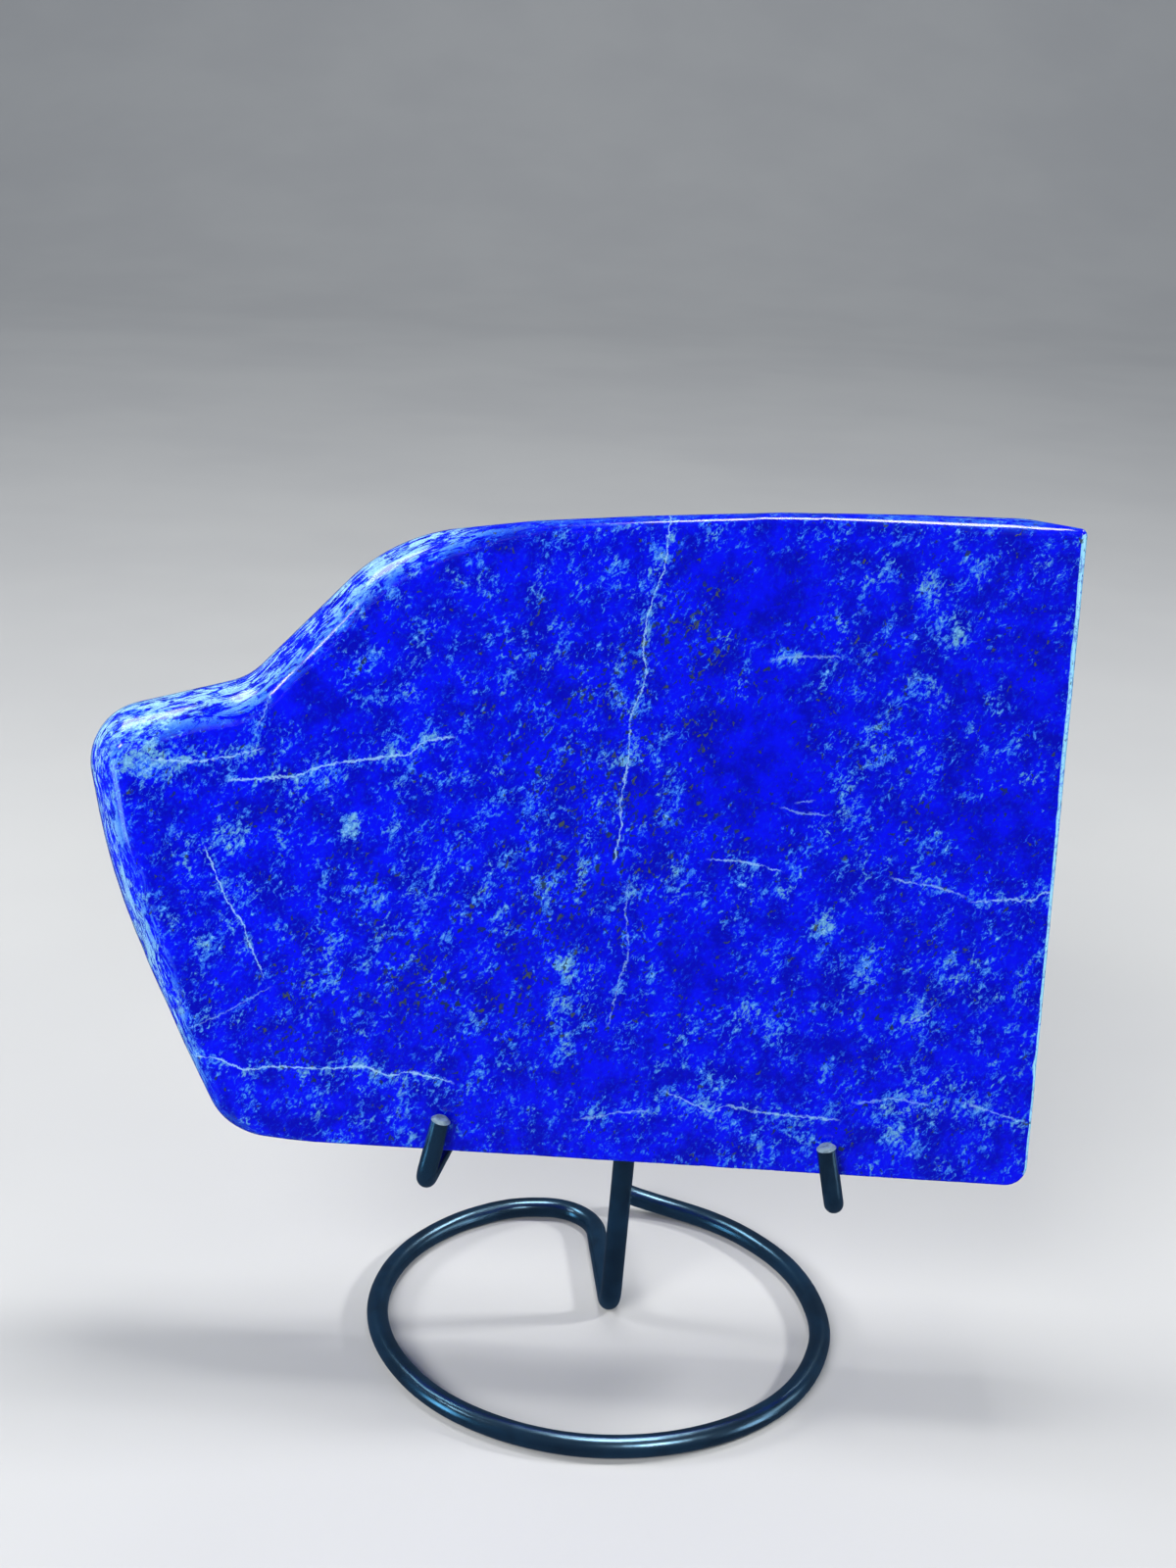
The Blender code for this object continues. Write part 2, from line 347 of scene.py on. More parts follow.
class Wiring:
    """Short hand for adding and linking nodes in one node tree."""

    def __init__(self, tree: bpy.types.NodeTree) -> None:
        """Keeps the tree that nodes are added to."""
        self.tree = tree
        self.count = 0

    def feed(self, node: bpy.types.Node, inputs: dict[str | int, object]) -> None:
        """Fills a node's inputs.

        Args:
            node: The node.
            inputs: Its inputs by name or number, each a value or another node's output.
        """
        for name, value in inputs.items():
            if isinstance(value, bpy.types.NodeSocket):
                self.tree.links.new(value, node.inputs[name])
            else:
                node.inputs[name].default_value = value

    def node(
        self, kind: str, inputs: dict[str | int, object] | None = None, **fields: object
    ) -> bpy.types.Node:
        """Adds a node.

        Args:
            kind: The node's type.
            inputs: Its inputs by name or number, each a value or another node's output.
            fields: Its other fields.

        Returns:
            The new node.
        """
        made = self.tree.nodes.new(kind)
        row, column = divmod(self.count, NODES_PER_ROW)
        self.count += 1
        made.location = (column * NODE_GAP[0], -row * NODE_GAP[1])
        for name, value in fields.items():
            setattr(made, name, value)
        self.feed(made, inputs or {})
        return made

    def math(self, operation: str, a: Signal, b: Signal = 0.0, c: Signal = 0.0) -> Socket:
        """Result of a Math node."""
        return self.node("ShaderNodeMath", {0: a, 1: b, 2: c}, operation=operation).outputs[0]

    def ease(
        self, value: Signal, low: Signal, high: Signal, start: float = 0.0, end: float = 1.0
    ) -> Socket:
        """Value eased from start at low to end at high."""
        inputs = {"Value": value, "From Min": low, "From Max": high, "To Min": start, "To Max": end}
        return self.node("ShaderNodeMapRange", inputs, interpolation_type="SMOOTHSTEP").outputs["Result"]

    def remap(self, value: Signal, low: float, high: float, start: float, end: float) -> Socket:
        """Value carried from one range to another, past its ends too."""
        inputs = {"Value": value, "From Min": low, "From Max": high, "To Min": start, "To Max": end}
        return self.node("ShaderNodeMapRange", inputs, clamp=False).outputs["Result"]

    def noise(self, place: Socket, grain: Grain) -> bpy.types.Node:
        """Adds a noise node.

        Args:
            place: Where the noise is read.
            grain: Its settings.

        Returns:
            The node.
        """
        inputs = {"Vector": place, "Scale": grain.scale, "Detail": grain.detail}
        inputs |= {"Roughness": grain.rough, "Distortion": grain.warp}
        return self.node("ShaderNodeTexNoise", inputs)

    def grain(self, place: Socket, grain: Grain) -> Socket:
        """Fractal noise from 0 to 1 at a place."""
        return self.noise(place, grain).outputs["Fac"]

    def sway(self, place: Socket, grain: Grain, low: float, high: float) -> Socket:
        """Fractal noise that mostly stays between two values."""
        return self.remap(self.grain(place, grain), *USUAL_NOISE, low, high)

    def mapped(
        self,
        place: Socket,
        move: Triple = (0, 0, 0),
        turn: Triple = (0, 0, 0),
        size: Triple = (1, 1, 1),
        kind: str = "POINT",
    ) -> Socket:
        """A place moved, turned and sized by a Mapping node."""
        inputs = {"Vector": place, "Location": move, "Rotation": turn, "Scale": size}
        return self.node("ShaderNodeMapping", inputs, vector_type=kind).outputs[0]

    def vector(self, operation: str, inputs: dict[int, object]) -> Socket:
        """Result of a Vector Math node."""
        return self.node("ShaderNodeVectorMath", inputs, operation=operation).outputs[0]

    def blend(self, share: Signal, under: Color | Socket, over: Color | Socket) -> Socket:
        """Mixes two colours.

        Args:
            share: How much of the upper colour shows.
            under: The lower colour.
            over: The upper colour.

        Returns:
            The mixed colour.
        """
        inputs = {0: share}
        for number, value in ((6, under), (7, over)):
            inputs[number] = value if isinstance(value, bpy.types.NodeSocket) else (*value, 1.0)
        return self.node("ShaderNodeMix", inputs, data_type="RGBA").outputs[2]

    def group(self, tree: bpy.types.NodeTree, inputs: dict[str, Signal]) -> bpy.types.Node:
        """Node that sets a node group into this tree."""
        return self.node("ShaderNodeGroup", inputs, node_tree=tree)

    def bump(self, height: Socket, strength: float, distance: float) -> Socket:
        """Normal that a height gives the surface."""
        inputs = {"Height": height, "Strength": strength, "Distance": distance}
        return self.node("ShaderNodeBump", inputs).outputs[0]


class MaterialMaker:
    """Starts a material round its Principled shader."""

    def __init__(self, name: str) -> None:
        """Makes the material.

        Args:
            name: Its name.
        """
        self.material = bpy.data.materials.new(name)
        self.material.use_nodes = True
        self.wiring = Wiring(self.material.node_tree)

    def place(self) -> Socket:
        """Place in the frame, in metres."""
        return self.wiring.node("ShaderNodeTexCoord").outputs["Object"]

    def finish(self, inputs: dict[str, object]) -> bpy.types.Material:
        """Fills the shader's inputs and hands the material over.

        Args:
            inputs: The shader's inputs by name, each a value or a node's output.

        Returns:
            The material.
        """
        self.wiring.feed(self.material.node_tree.nodes["Principled BSDF"], inputs)
        return self.material


class GroupMaker:
    """Starts a shader node group with named inputs and outputs."""

    def __init__(self, name: str, inputs: dict[str, float | None], outputs: tuple[str, ...]) -> None:
        """Makes the group's tree and sockets.

        Args:
            name: The group's name.
            inputs: Default value by input name, and None where the input is a place.
            outputs: Names of the outputs, all of them single values.
        """
        self.tree = bpy.data.node_groups.new(name, "ShaderNodeTree")
        for label, value in inputs.items():
            kind = "NodeSocketVector" if value is None else "NodeSocketFloat"
            socket = self.tree.interface.new_socket(label, in_out="INPUT", socket_type=kind)
            if value is not None:
                socket.default_value = value
        for label in outputs:
            self.tree.interface.new_socket(label, in_out="OUTPUT", socket_type="NodeSocketFloat")
        self.wiring = Wiring(self.tree)
        self.entry = self.wiring.node("NodeGroupInput").outputs
        self.exit = self.wiring.node("NodeGroupOutput").inputs

    def give(self, label: str, value: Socket) -> None:
        """Links a value to one of the group's outputs."""
        self.tree.links.new(value, self.exit[label])


def speck_group() -> bpy.types.NodeTree:
    """Scattered ragged specks of one size.

    Returns:
        A group that gives a mask of the specks and a mask of their dark outlines.
    """
    inputs = {"Vector": None, "Scale": 1.0, "Amount": 0.5, "Outline": 0.05}
    maker = GroupMaker("ragged_specks", inputs, ("Mask", "Rim"))
    w, entry = maker.wiring, maker.entry
    softness = 0.03
    grain = w.grain(entry["Vector"], Grain(entry["Scale"], 4, 0.6, 0.6))
    level = w.math("SUBTRACT", 1.0, entry["Amount"])
    inner = w.math("ADD", level, entry["Outline"])
    mask = w.ease(grain, inner, w.math("ADD", inner, softness))
    wide = w.ease(grain, level, w.math("ADD", level, softness))
    maker.give("Mask", mask)
    maker.give("Rim", w.math("SUBTRACT", wide, mask))
    return maker.tree


def ripple_group() -> bpy.types.NodeTree:
    """Slow hand-made unevenness with finer marks on it.

    Returns:
        A group that gives a height for a Bump node and a mask of the finer marks.
    """
    inputs = {"Vector": None, "Wave": 0.1, "Fine": 1.0, "Fine Share": 0.2}
    maker = GroupMaker("handmade_ripple", inputs, ("Height", "Marks"))
    w, entry = maker.wiring, maker.entry
    mark_span = (0.45, 0.75)
    slow = w.grain(entry["Vector"], Grain(entry["Wave"], 1, 0.5))
    fine = w.grain(entry["Vector"], Grain(entry["Fine"], 2, 0.5))
    maker.give("Height", w.math("MULTIPLY_ADD", fine, entry["Fine Share"], slow))
    maker.give("Marks", w.ease(fine, *mark_span))
    return maker.tree


def vein_group() -> bpy.types.NodeTree:
    """A thread of calcite beside its path, in millimetres.

    Returns:
        A group that gives the thread's mask and the paler halo round it.
    """
    inputs = {"Offset": 0.0, "Strength": 1.0, "Width": 0.4, "Ragged": 0.5, "Broken": 0.5}
    maker = GroupMaker("calcite_thread", inputs, ("Mask", "Halo"))
    w, entry = maker.wiring, maker.entry
    raggedness, thinnest = 1.8, 0.35
    thin_span, gap_span, halo_span = (0.3, 0.7), (0.3, 0.5), (0.3, 2.2)
    gap_cover, line_cover = 0.25, 0.95
    jitter = w.math("MULTIPLY", w.math("SUBTRACT", entry["Ragged"], 0.5), raggedness)
    distance = w.math("ABSOLUTE", w.math("ADD", entry["Offset"], jitter))
    half_width = w.math("MULTIPLY", entry["Width"], w.remap(entry["Broken"], *thin_span, thinnest, 1.0))
    line = w.ease(distance, 0.0, half_width, 1.0, 0.0)
    line = w.math("MULTIPLY", line, w.ease(entry["Broken"], *gap_span, gap_cover, line_cover))
    halo = w.ease(distance, *halo_span, 1.0, 0.0)
    maker.give("Mask", w.math("MULTIPLY", line, entry["Strength"]))
    maker.give("Halo", w.math("MULTIPLY", halo, entry["Strength"]))
    return maker.tree


# Finishes


@dataclass(frozen=True)
class Vein:
    """A pale vein: how strongly it shows, and its (along, aside) points on the face in millimetres."""

    strength: float
    points: tuple[Span, ...]


@dataclass(frozen=True)
class VeinRun:
    """Veins that follow one another along one axis of the slab."""

    axis: Axis
    width: float
    veins: tuple[Vein, ...]

    def path(self) -> list[Span]:
        """All veins' points in one line."""
        return [point for vein in self.veins for point in vein.points]

    def strengths(self, fade: float = 1.6) -> list[Span]:
        """How strongly the run shows along its length, with nothing between two veins.

        Args:
            fade: Length over which a vein fades in and out.

        Returns:
            (along, strength) points.
        """
        levels = []
        for vein in self.veins:
            start, end = vein.points[0][0], vein.points[-1][0]
            levels += [(start, 0.0), (start + fade, vein.strength)]
            levels += [(end - fade, vein.strength), (end, 0.0)]
        return levels


@dataclass(frozen=True)
class Patch:
    """A soft cloud on the face, in millimetres. A negative strength makes the stone cleaner there."""

    across: float
    up: float
    half_across: float
    half_up: float
    strength: float
    turn: float = 0.0


# Placed to follow the real stone, in the slab's own axes
VEIN_RUNS = (
    VeinRun(Axis.UP, 0.32, (
        Vein(0.45, ((24, -5), (32, -3.5), (37.5, -2), (45, -3), (50, -3))),
        Vein(0.75, ((53, -5.5), (60, -4.5), (64, -5), (70.5, -4), (79, -4), (83, -2.5), (87, -1.5),
                    (90.5, -2.5), (96.5, -2), (100.5, -1), (105, 0.5), (113.5, 1), (118, 1.5))),
    )),
    VeinRun(Axis.UP, 0.34, (
        Vein(0.8, ((29, -66), (35.5, -69), (38.5, -70), (42.5, -73), (46.5, -75), (52.5, -77.5))),
        Vein(0.4, ((72.5, -69.5), (75.5, -68), (79, -67))),
    )),
    VeinRun(Axis.ACROSS, 0.40, (
        Vein(0.85, ((-79, 14), (-74.5, 14.5), (-69, 12.5), (-64, 13.5), (-55.5, 13.5), (-48, 14.5),
                    (-43, 13), (-40, 14), (-31.5, 12.5))),
        Vein(0.45, ((-10.5, 7), (-5.5, 8), (-2.5, 9), (3.5, 9.5))),
        Vein(0.6, ((5, 13.5), (11.5, 11), (14.5, 10), (16.5, 11.5), (22.5, 10.5), (37, 10))),
        Vein(0.4, ((38.5, 13), (46, 14.5), (53, 13.5))),
        Vein(0.5, ((57.5, 14.5), (62, 13.5), (69.5, 11.5))),
    )),
    VeinRun(Axis.ACROSS, 0.42, (
        Vein(0.75, ((-88, 67), (-80, 67), (-77, 67.5), (-71, 69), (-67.5, 70))),
        Vein(0.35, ((19, 90), (22.5, 91), (32.5, 91.5))),
        Vein(0.5, ((47, 27.5), (50, 29.5), (52.5, 32))),
    )),
    VeinRun(Axis.ACROSS, 0.42, (
        Vein(0.75, ((-74, 64), (-65.5, 65), (-61.5, 65.5), (-57.5, 67.5), (-53, 68.5), (-45, 70),
                    (-42, 70.5), (-39.5, 73), (-34, 74))),
        Vein(0.4, ((22.5, 65), (26, 64), (32, 64))),
        Vein(0.55, ((42.5, 53.5), (50.5, 52.5), (56, 51))),
        Vein(0.7, ((56.5, 50), (62.5, 51), (67.5, 51), (69, 52.5), (73, 53))),
    )),
    VeinRun(Axis.ACROSS, 0.32, (
        Vein(0.32, ((-80, 19), (-73, 22.5), (-64.5, 28))),
        Vein(0.6, ((10.5, 55), (17, 55), (24.5, 53.5))),
        Vein(0.4, ((25, 65.5), (29, 66.5))),
    )),
)

PATCHES = (
    Patch(-9, 106, 5, 2.5, 1.2),
    Patch(-1.5, 103.5, 3, 6, 1.0, 10),
    Patch(46.5, 104, 5.5, 4, 1.8),
    Patch(51, 97.5, 3.5, 6, 1.2, 10),
    Patch(43, 96.5, 2.5, 2.5, 1.2),
    Patch(47.5, 87.5, 6, 6.5, 1.1),
    Patch(37.5, 79.5, 2.5, 2, 1.8),
    Patch(41.5, 75.5, 2.5, 2.5, 1.6),
    Patch(34, 67, 4, 8.5, 1.3, 15),
    Patch(31, 46, 3.5, 4.5, 1.9),
    Patch(24.5, 50.5, 2.5, 2, 1.4),
    Patch(-6.5, 86, 2.5, 10, 1.1, -3),
    Patch(-8, 71, 2, 4, 1.0),
    Patch(-12, 53.5, 4.5, 6, 1.1),
    Patch(-18, 47, 4.5, 6.5, 1.0),
    Patch(-12.5, 35, 3.5, 4.5, 2.6, 10),
    Patch(-13.5, 26, 2.5, 5, 1.3, 10),
    Patch(58, 84, 3, 3.5, 0.9),
    Patch(64, 111, 5, 3.5, 0.9),
    Patch(5.5, 50, 5.5, 4.5, 0.8),
    Patch(21, 25.5, 10, 7.5, 1.2),
    Patch(14.5, 14.5, 6.5, 3.5, 1.2),
    Patch(52.5, 13.5, 12, 6, 1.1),
    Patch(54.5, 36.5, 8.5, 6.5, 0.8),
    Patch(39, 35.5, 3.5, 5, 1.0),
    Patch(-90, 69.5, 11, 8.5, 2.4),
    Patch(-75, 70, 6, 3, 1.2),
    Patch(-51.5, 57, 3, 3.5, 2.8),
    Patch(-75, 54.5, 2.5, 3.5, 1.6),
    Patch(-70, 54.5, 2, 3, 1.1),
    Patch(-73, 42.5, 2.5, 3, 1.6),
    Patch(-63.5, 46, 2.5, 3.5, 1.6),
    Patch(-46, 40.5, 3.5, 6.5, 1.0),
    Patch(-42, 86, 3.5, 7.5, 1.2, 15),
    Patch(-44, 102, 4, 5.5, 1.1, 20),
    Patch(-32.5, 83, 2.5, 5, 0.8),
    Patch(-55.5, 32, 10, 7.5, 0.7),
    Patch(-37, 48, 10, 12, 0.7),
    Patch(-55, 10, 15, 5, 0.5),
    Patch(-36.5, 67.5, 12, 10, 0.5),
    Patch(19, 101, 14, 10.5, -2.0),
    Patch(19, 73, 14, 18, -2.6),
    Patch(64, 92, 6.5, 14, -1.5),
    Patch(11.5, 36.5, 9, 10, -1.8),
    Patch(62, 63, 11, 11, -1.5),
    Patch(-61, 80.5, 12.5, 6.5, -1.4, 25),
    Patch(-80, 50, 6, 7.5, 0.9),
    Patch(-4.5, 15, 10, 5.5, -1.0),
    Patch(-21, 31.5, 5, 10, -0.8),
)

SPECK_ZONES = (
    Patch(-8, 62, 32, 56, 1.1),
    Patch(10, 92, 18, 28, 0.8),
    Patch(-40, 28, 40, 26, 1.0),
    Patch(42, 60, 22, 60, 0.6),
)


@dataclass(frozen=True)
class LapisFinish:
    """Polished lapis: deep blue with pale mottling, clouds, veins and pyrite specks."""

    plan: StandPlan
    deep_blue: Color = (0.0004, 0.0008, 0.42)
    bright_blue: Color = (0.0006, 0.0025, 0.80)
    pale_blue: Color = (0.040, 0.205, 0.80)
    pale_teal: Color = (0.120, 0.35, 0.54)
    faint_blue: Color = (0.003, 0.045, 0.76)
    pale_core: Color = (0.24, 0.55, 0.80)
    # Pale cyan of the broad edges: partly the stone's pale grains, partly a painted sheen
    rim_pale_and_sheen: Color = (0.40, 0.76, 0.93)
    # Pale cyan-white painted reflection on the sawn right bevel
    sawn_bevel_painted_glint: Color = (0.30, 0.70, 0.92)
    vein_white: Color = (0.34, 0.62, 0.88)
    speck_green: Color = (0.008, 0.026, 0.040)
    speck_gold: Color = (0.048, 0.070, 0.036)
    speck_rim: Color = (0.004, 0.012, 0.07)

    # The stone's grain, and the pale grains in it
    grain_lean: float = radians(35)
    grain_stretch: Triple = (1.0, 0.55, 1.55)
    clumps: Grain = Grain(0.25, 6, 0.70, 0.25)
    lace: Grain = Grain(1.35, 4, 0.70, 0.7)
    cloud_gain: float = 0.070
    pale_span: Span = (0.533, 0.612)
    core_span: Span = (0.590, 0.700)
    haze_span: Span = (0.48, 0.62)
    haze_share: float = 0.42
    texture: Grain = Grain(2.8, 2, 0.7)
    texture_span: Span = (0.30, 0.62)
    texture_cover: Span = (0.60, 1.0)

    # Streaks along worn edges, their cores turning into a painted sheen towards the rim
    streak_stretch: Triple = (0.20, 1.10, 1)
    streaks: Grain = Grain(1.0, 6, 0.74, 1.2)
    streak_span: Span = (0.48, 0.55)
    streak_start: Span = (0.0, 0.35)
    streak_core: Span = (0.1, 0.8)
    tufts: Grain = Grain(0.16, 2)
    tuft_sway: Span = (-0.05, 0.05)

    # Veins and clouds
    ragged: Grain = Grain(0.8, 4, 0.7)
    broken: Grain = Grain(0.6, 2)
    halo_gain: float = 0.6
    cloud_depth: float = 6.0
    cloud_half_depth: float = 16.0
    wander: Grain = Grain(0.24, 2, 0.6)
    wander_reach: float = 6.0
    drift: Grain = Grain(0.07, 2)
    drift_sway: Span = (-0.15, 0.25)

    # Colour changes
    shade: Grain = Grain(0.16, 4, 0.65)
    shade_span: Span = (0.38, 0.64)
    tint: Grain = Grain(0.30, 3)
    tint_gain: float = 0.10
    tint_span: Span = (0.48, 0.70)
    rim_span: Span = (0.0, 0.5)
    # Noise that breaks up the painted reflection on the sawn bevel
    glint_break: Grain = Grain(1.1, 4, 0.7)
    glint_break_span: Span = (0.36, 0.52)
    glint_break_cover: Span = (0.35, 0.95)

    # Pyrite and dark specks
    speck_zones: Grain = Grain(0.09, 1)
    speck_sway: Span = (-0.1, 0.5)
    speck_span: Span = (0.0, 1.4)
    speck_amount: Span = (0.365, 0.465)
    speck_scale: float = 1.05
    speck_outline: float = 0.03
    speck_cover: float = 0.9
    speck_rim_cover: float = 0.8
    gold_span: Span = (0.45, 0.60)

    # Polish
    roughness: float = 0.11
    speck_dullness: float = 0.15
    mark_dullness: float = 0.03
    wave_scale: float = 0.035
    mark_scale: float = 0.9
    mark_share: float = 0.012
    bump_strength: float = 0.25
    bump_distance: float = 0.4 * MM
    ior: float = 1.50

    def curve(self, w: Wiring, value: Signal, points: list[Span]) -> Socket:
        """Reads a curve made of straight runs.

        Args:
            w: Wiring of the material.
            value: Where the curve is read, from 0 to 1.
            points: The curve's points.

        Returns:
            The curve's height there.
        """
        node = w.node("ShaderNodeFloatCurve", {"Value": value})
        line = node.mapping.curves[0]
        line.points[0].location = points[0]
        line.points[-1].location = points[-1]
        for point in points[1:-1]:
            line.points.new(*point)
        for knot in line.points:
            knot.handle_type = "VECTOR"
        node.mapping.update()
        return node.outputs[0]

    def vein_run(
        self,
        w: Wiring,
        run: VeinRun,
        tree: bpy.types.NodeTree,
        sides: dict[Axis, Socket],
        ragged: Socket,
        broken: Socket,
    ) -> bpy.types.Node:
        """Places one run of veins.

        Args:
            w: Wiring of the material.
            run: The run.
            tree: The thread group.
            sides: The place's value along each slab axis.
            ragged: Noise that moves the thread sideways.
            broken: Noise that thins and breaks it.

        Returns:
            The thread group's node.
        """
        path = run.path()
        start, end = path[0][0], path[-1][0]
        low = min(aside for along, aside in path)
        high = max(aside for along, aside in path)
        other = Axis.UP if run.axis is Axis.ACROSS else Axis.ACROSS
        share = w.remap(sides[run.axis], start, end, 0, 1)
        knots = [((along - start) / (end - start), (aside - low) / (high - low)) for along, aside in path]
        levels = [((along - start) / (end - start), level) for along, level in run.strengths()]
        line = w.remap(self.curve(w, share, knots), 0, 1, low, high)
        inputs = {"Offset": w.math("SUBTRACT", sides[other], line), "Strength": self.curve(w, share, levels)}
        inputs |= {"Width": run.width, "Ragged": ragged, "Broken": broken}
        return w.group(tree, inputs)

    def patch_mask(self, w: Wiring, patch: Patch, place: Socket) -> Socket:
        """Soft mask of one cloud, a long ball that reaches through the slab.

        Args:
            w: Wiring of the material.
            patch: The cloud.
            place: Place in the slab's own axes.

        Returns:
            The mask, as strong as the cloud in its middle.
        """
        middle = (patch.across, self.cloud_depth, patch.up)
        size = (patch.half_across, self.cloud_half_depth, patch.half_up)
        spot = w.mapped(place, middle, (0, radians(patch.turn), 0), size, "TEXTURE")
        ball = w.node("ShaderNodeTexGradient", {"Vector": spot}, gradient_type="SPHERICAL").outputs["Fac"]
        return w.math("MULTIPLY", ball, patch.strength)

    def zone_sum(self, w: Wiring, patches: tuple[Patch, ...], place: Socket, start: Signal) -> Socket:
        """Adds the soft masks of several clouds up.

        Args:
            w: Wiring of the material.
            patches: The clouds.
            place: Place in the slab's own axes.
            start: The value that they are added to.

        Returns:
            The sum.
        """
        total = start
        for patch in patches:
            total = w.math("ADD", total, self.patch_mask(w, patch, place))
        return total

    def mottling(
        self, w: Wiring, place: Socket, leaning: Socket, clouds: Socket, rim: Socket
    ) -> tuple[Socket, Socket, Socket]:
        """Cover of the pale grains, denser in the clouds and in streaks along worn edges, whose cores carry
        a painted sheen near the rim.

        Args:
            w: Wiring of the material.
            place: Place in the slab's own axes.
            leaning: The same place, stretched along the stone's grain.
            clouds: How much paler the stone is here.
            rim: How far the place is into a broad worn edge.

        Returns:
            The cover of the pale grains, of their palest cores and of the faint bluish haze, from 0 to 1.
        """
        clumps = w.grain(leaning, self.clumps)
        lace = w.grain(leaning, self.lace)
        body = w.math("ADD", w.math("MULTIPLY", clumps, 0.5), w.math("MULTIPLY", lace, 0.5))
        body = w.math("MULTIPLY_ADD", clouds, self.cloud_gain, body)
        pale = w.ease(body, *self.pale_span)
        haze = w.math("MULTIPLY_ADD", lace, 0.5, w.math("MULTIPLY", body, 0.5))
        run = w.node("ShaderNodeUVMap", uv_map=RUN_NAME).outputs[0]
        streaks = w.grain(w.mapped(run, size=self.streak_stretch), self.streaks)
        streaks = w.math("ADD", streaks, w.sway(place, self.tufts, *self.tuft_sway))
        streaks = w.math("MULTIPLY", w.ease(streaks, *self.streak_span), w.ease(rim, *self.streak_start))
        pale = w.math("MAXIMUM", pale, streaks)
        texture = w.ease(w.grain(place, self.texture), *self.texture_span, *self.texture_cover)
        # Streak cores near the rim, where the pale grains carry a painted sheen
        sheen_streak_cores = w.math("MULTIPLY", streaks, w.ease(rim, *self.streak_core))
        core = w.math("MAXIMUM", w.ease(body, *self.core_span), sheen_streak_cores)
        return w.math("MULTIPLY", pale, texture), core, w.ease(haze, *self.haze_span)

    def material(
        self, specks: bpy.types.NodeTree, ripple: bpy.types.NodeTree, thread: bpy.types.NodeTree
    ) -> bpy.types.Material:
        """Builds the stone's material.

        Args:
            specks: The ragged speck group.
            ripple: The handmade ripple group.
            thread: The calcite thread group.

        Returns:
            The material.
        """
        maker = MaterialMaker("polished_lapis")
        w = maker.wiring
        slab_axes = (tuple(self.plan.slab_place()), tuple(self.plan.slab_turn()), (MM, MM, MM))
        place = w.mapped(maker.place(), *slab_axes, kind="TEXTURE")
        leaning = w.mapped(place, turn=(0, self.grain_lean, 0), size=self.grain_stretch, kind="TEXTURE")
        rim = w.node("ShaderNodeAttribute", attribute_name=RIM_NAME).outputs["Fac"]

        # Veins and the paler halo round them
        parts = w.node("ShaderNodeSeparateXYZ", {0: place})
        sides = {Axis.ACROSS: parts.outputs["X"], Axis.UP: parts.outputs["Z"]}
        ragged = w.grain(place, self.ragged)
        broken = w.grain(place, self.broken)
        veins: Signal = 0.0
        halo: Signal = 0.0
        for run in VEIN_RUNS:
            threads = self.vein_run(w, run, thread, sides, ragged, broken).outputs
            veins = w.math("MAXIMUM", threads["Mask"], veins)
            halo = w.math("MAXIMUM", threads["Halo"], halo)

        # Clouds, where more or less of the mottling shows
        wander = w.vector("SUBTRACT", {0: w.noise(place, self.wander).outputs["Color"], 1: (0.5, 0.5, 0.5)})
        wander = w.vector("SCALE", {0: wander, 3: self.wander_reach})
        loose = w.vector("ADD", {0: place, 1: wander})
        drift = w.sway(place, self.drift, *self.drift_sway)
        clouds = self.zone_sum(w, PATCHES, loose, w.math("MULTIPLY_ADD", halo, self.halo_gain, drift))
        cover, core, haze = self.mottling(w, place, leaning, clouds, rim)

        # Colours of the stone, with a painted sheen on the broad edges and a painted reflection on the sawn
        # bevel
        shade = w.grain(place, self.shade)
        blue = w.blend(w.ease(shade, *self.shade_span), self.bright_blue, self.deep_blue)
        blue = w.blend(w.math("MULTIPLY", haze, self.haze_share), blue, self.faint_blue)
        tint = w.math("MULTIPLY_ADD", clouds, self.tint_gain, w.grain(place, self.tint))
        pale_color = w.blend(w.ease(tint, *self.tint_span), self.pale_blue, self.pale_teal)
        # Towards the rim the pale cores turn into the painted sheen colour
        core_and_sheen_color = w.blend(w.ease(rim, *self.rim_span), self.pale_core, self.rim_pale_and_sheen)
        pale_color = w.blend(core, pale_color, core_and_sheen_color)
        color = w.blend(cover, blue, pale_color)
        # Painted reflection: the sawn right bevel turns pale cyan-white where the noise lets it
        sawn = w.node("ShaderNodeAttribute", attribute_name=SAWN_NAME).outputs["Fac"]
        glint_break = w.ease(w.grain(place, self.glint_break), *self.glint_break_span, *self.glint_break_cover)
        color = w.blend(w.math("MULTIPLY", sawn, glint_break), color, self.sawn_bevel_painted_glint)

        # Pyrite and dark specks
        zone = self.zone_sum(w, SPECK_ZONES, loose, w.sway(place, self.speck_zones, *self.speck_sway))
        amount = w.ease(zone, *self.speck_span, *self.speck_amount)
        inputs = {"Vector": leaning, "Scale": self.speck_scale, "Amount": amount}
        spots = w.group(specks, inputs | {"Outline": self.speck_outline}).outputs
        color = w.blend(w.math("MULTIPLY", spots["Rim"], self.speck_rim_cover), color, self.speck_rim)
        speck_color = w.blend(w.ease(shade, *self.gold_span), self.speck_green, self.speck_gold)
        color = w.blend(w.math("MULTIPLY", spots["Mask"], self.speck_cover), color, speck_color)
        color = w.blend(veins, color, self.vein_white)

        # Polish, a little duller on the specks
        inputs = {"Vector": place, "Wave": self.wave_scale, "Fine": self.mark_scale}
        waves = w.group(ripple, inputs | {"Fine Share": self.mark_share}).outputs
        speck_dullness = w.math("MULTIPLY", spots["Mask"], self.speck_dullness)
        dull = w.math("ADD", speck_dullness, w.math("MULTIPLY", waves["Marks"], self.mark_dullness))
        rough = w.math("ADD", dull, self.roughness)
        normal = w.bump(waves["Height"], self.bump_strength, self.bump_distance)
        return maker.finish({"Base Color": color, "Roughness": rough, "Normal": normal, "IOR": self.ior})


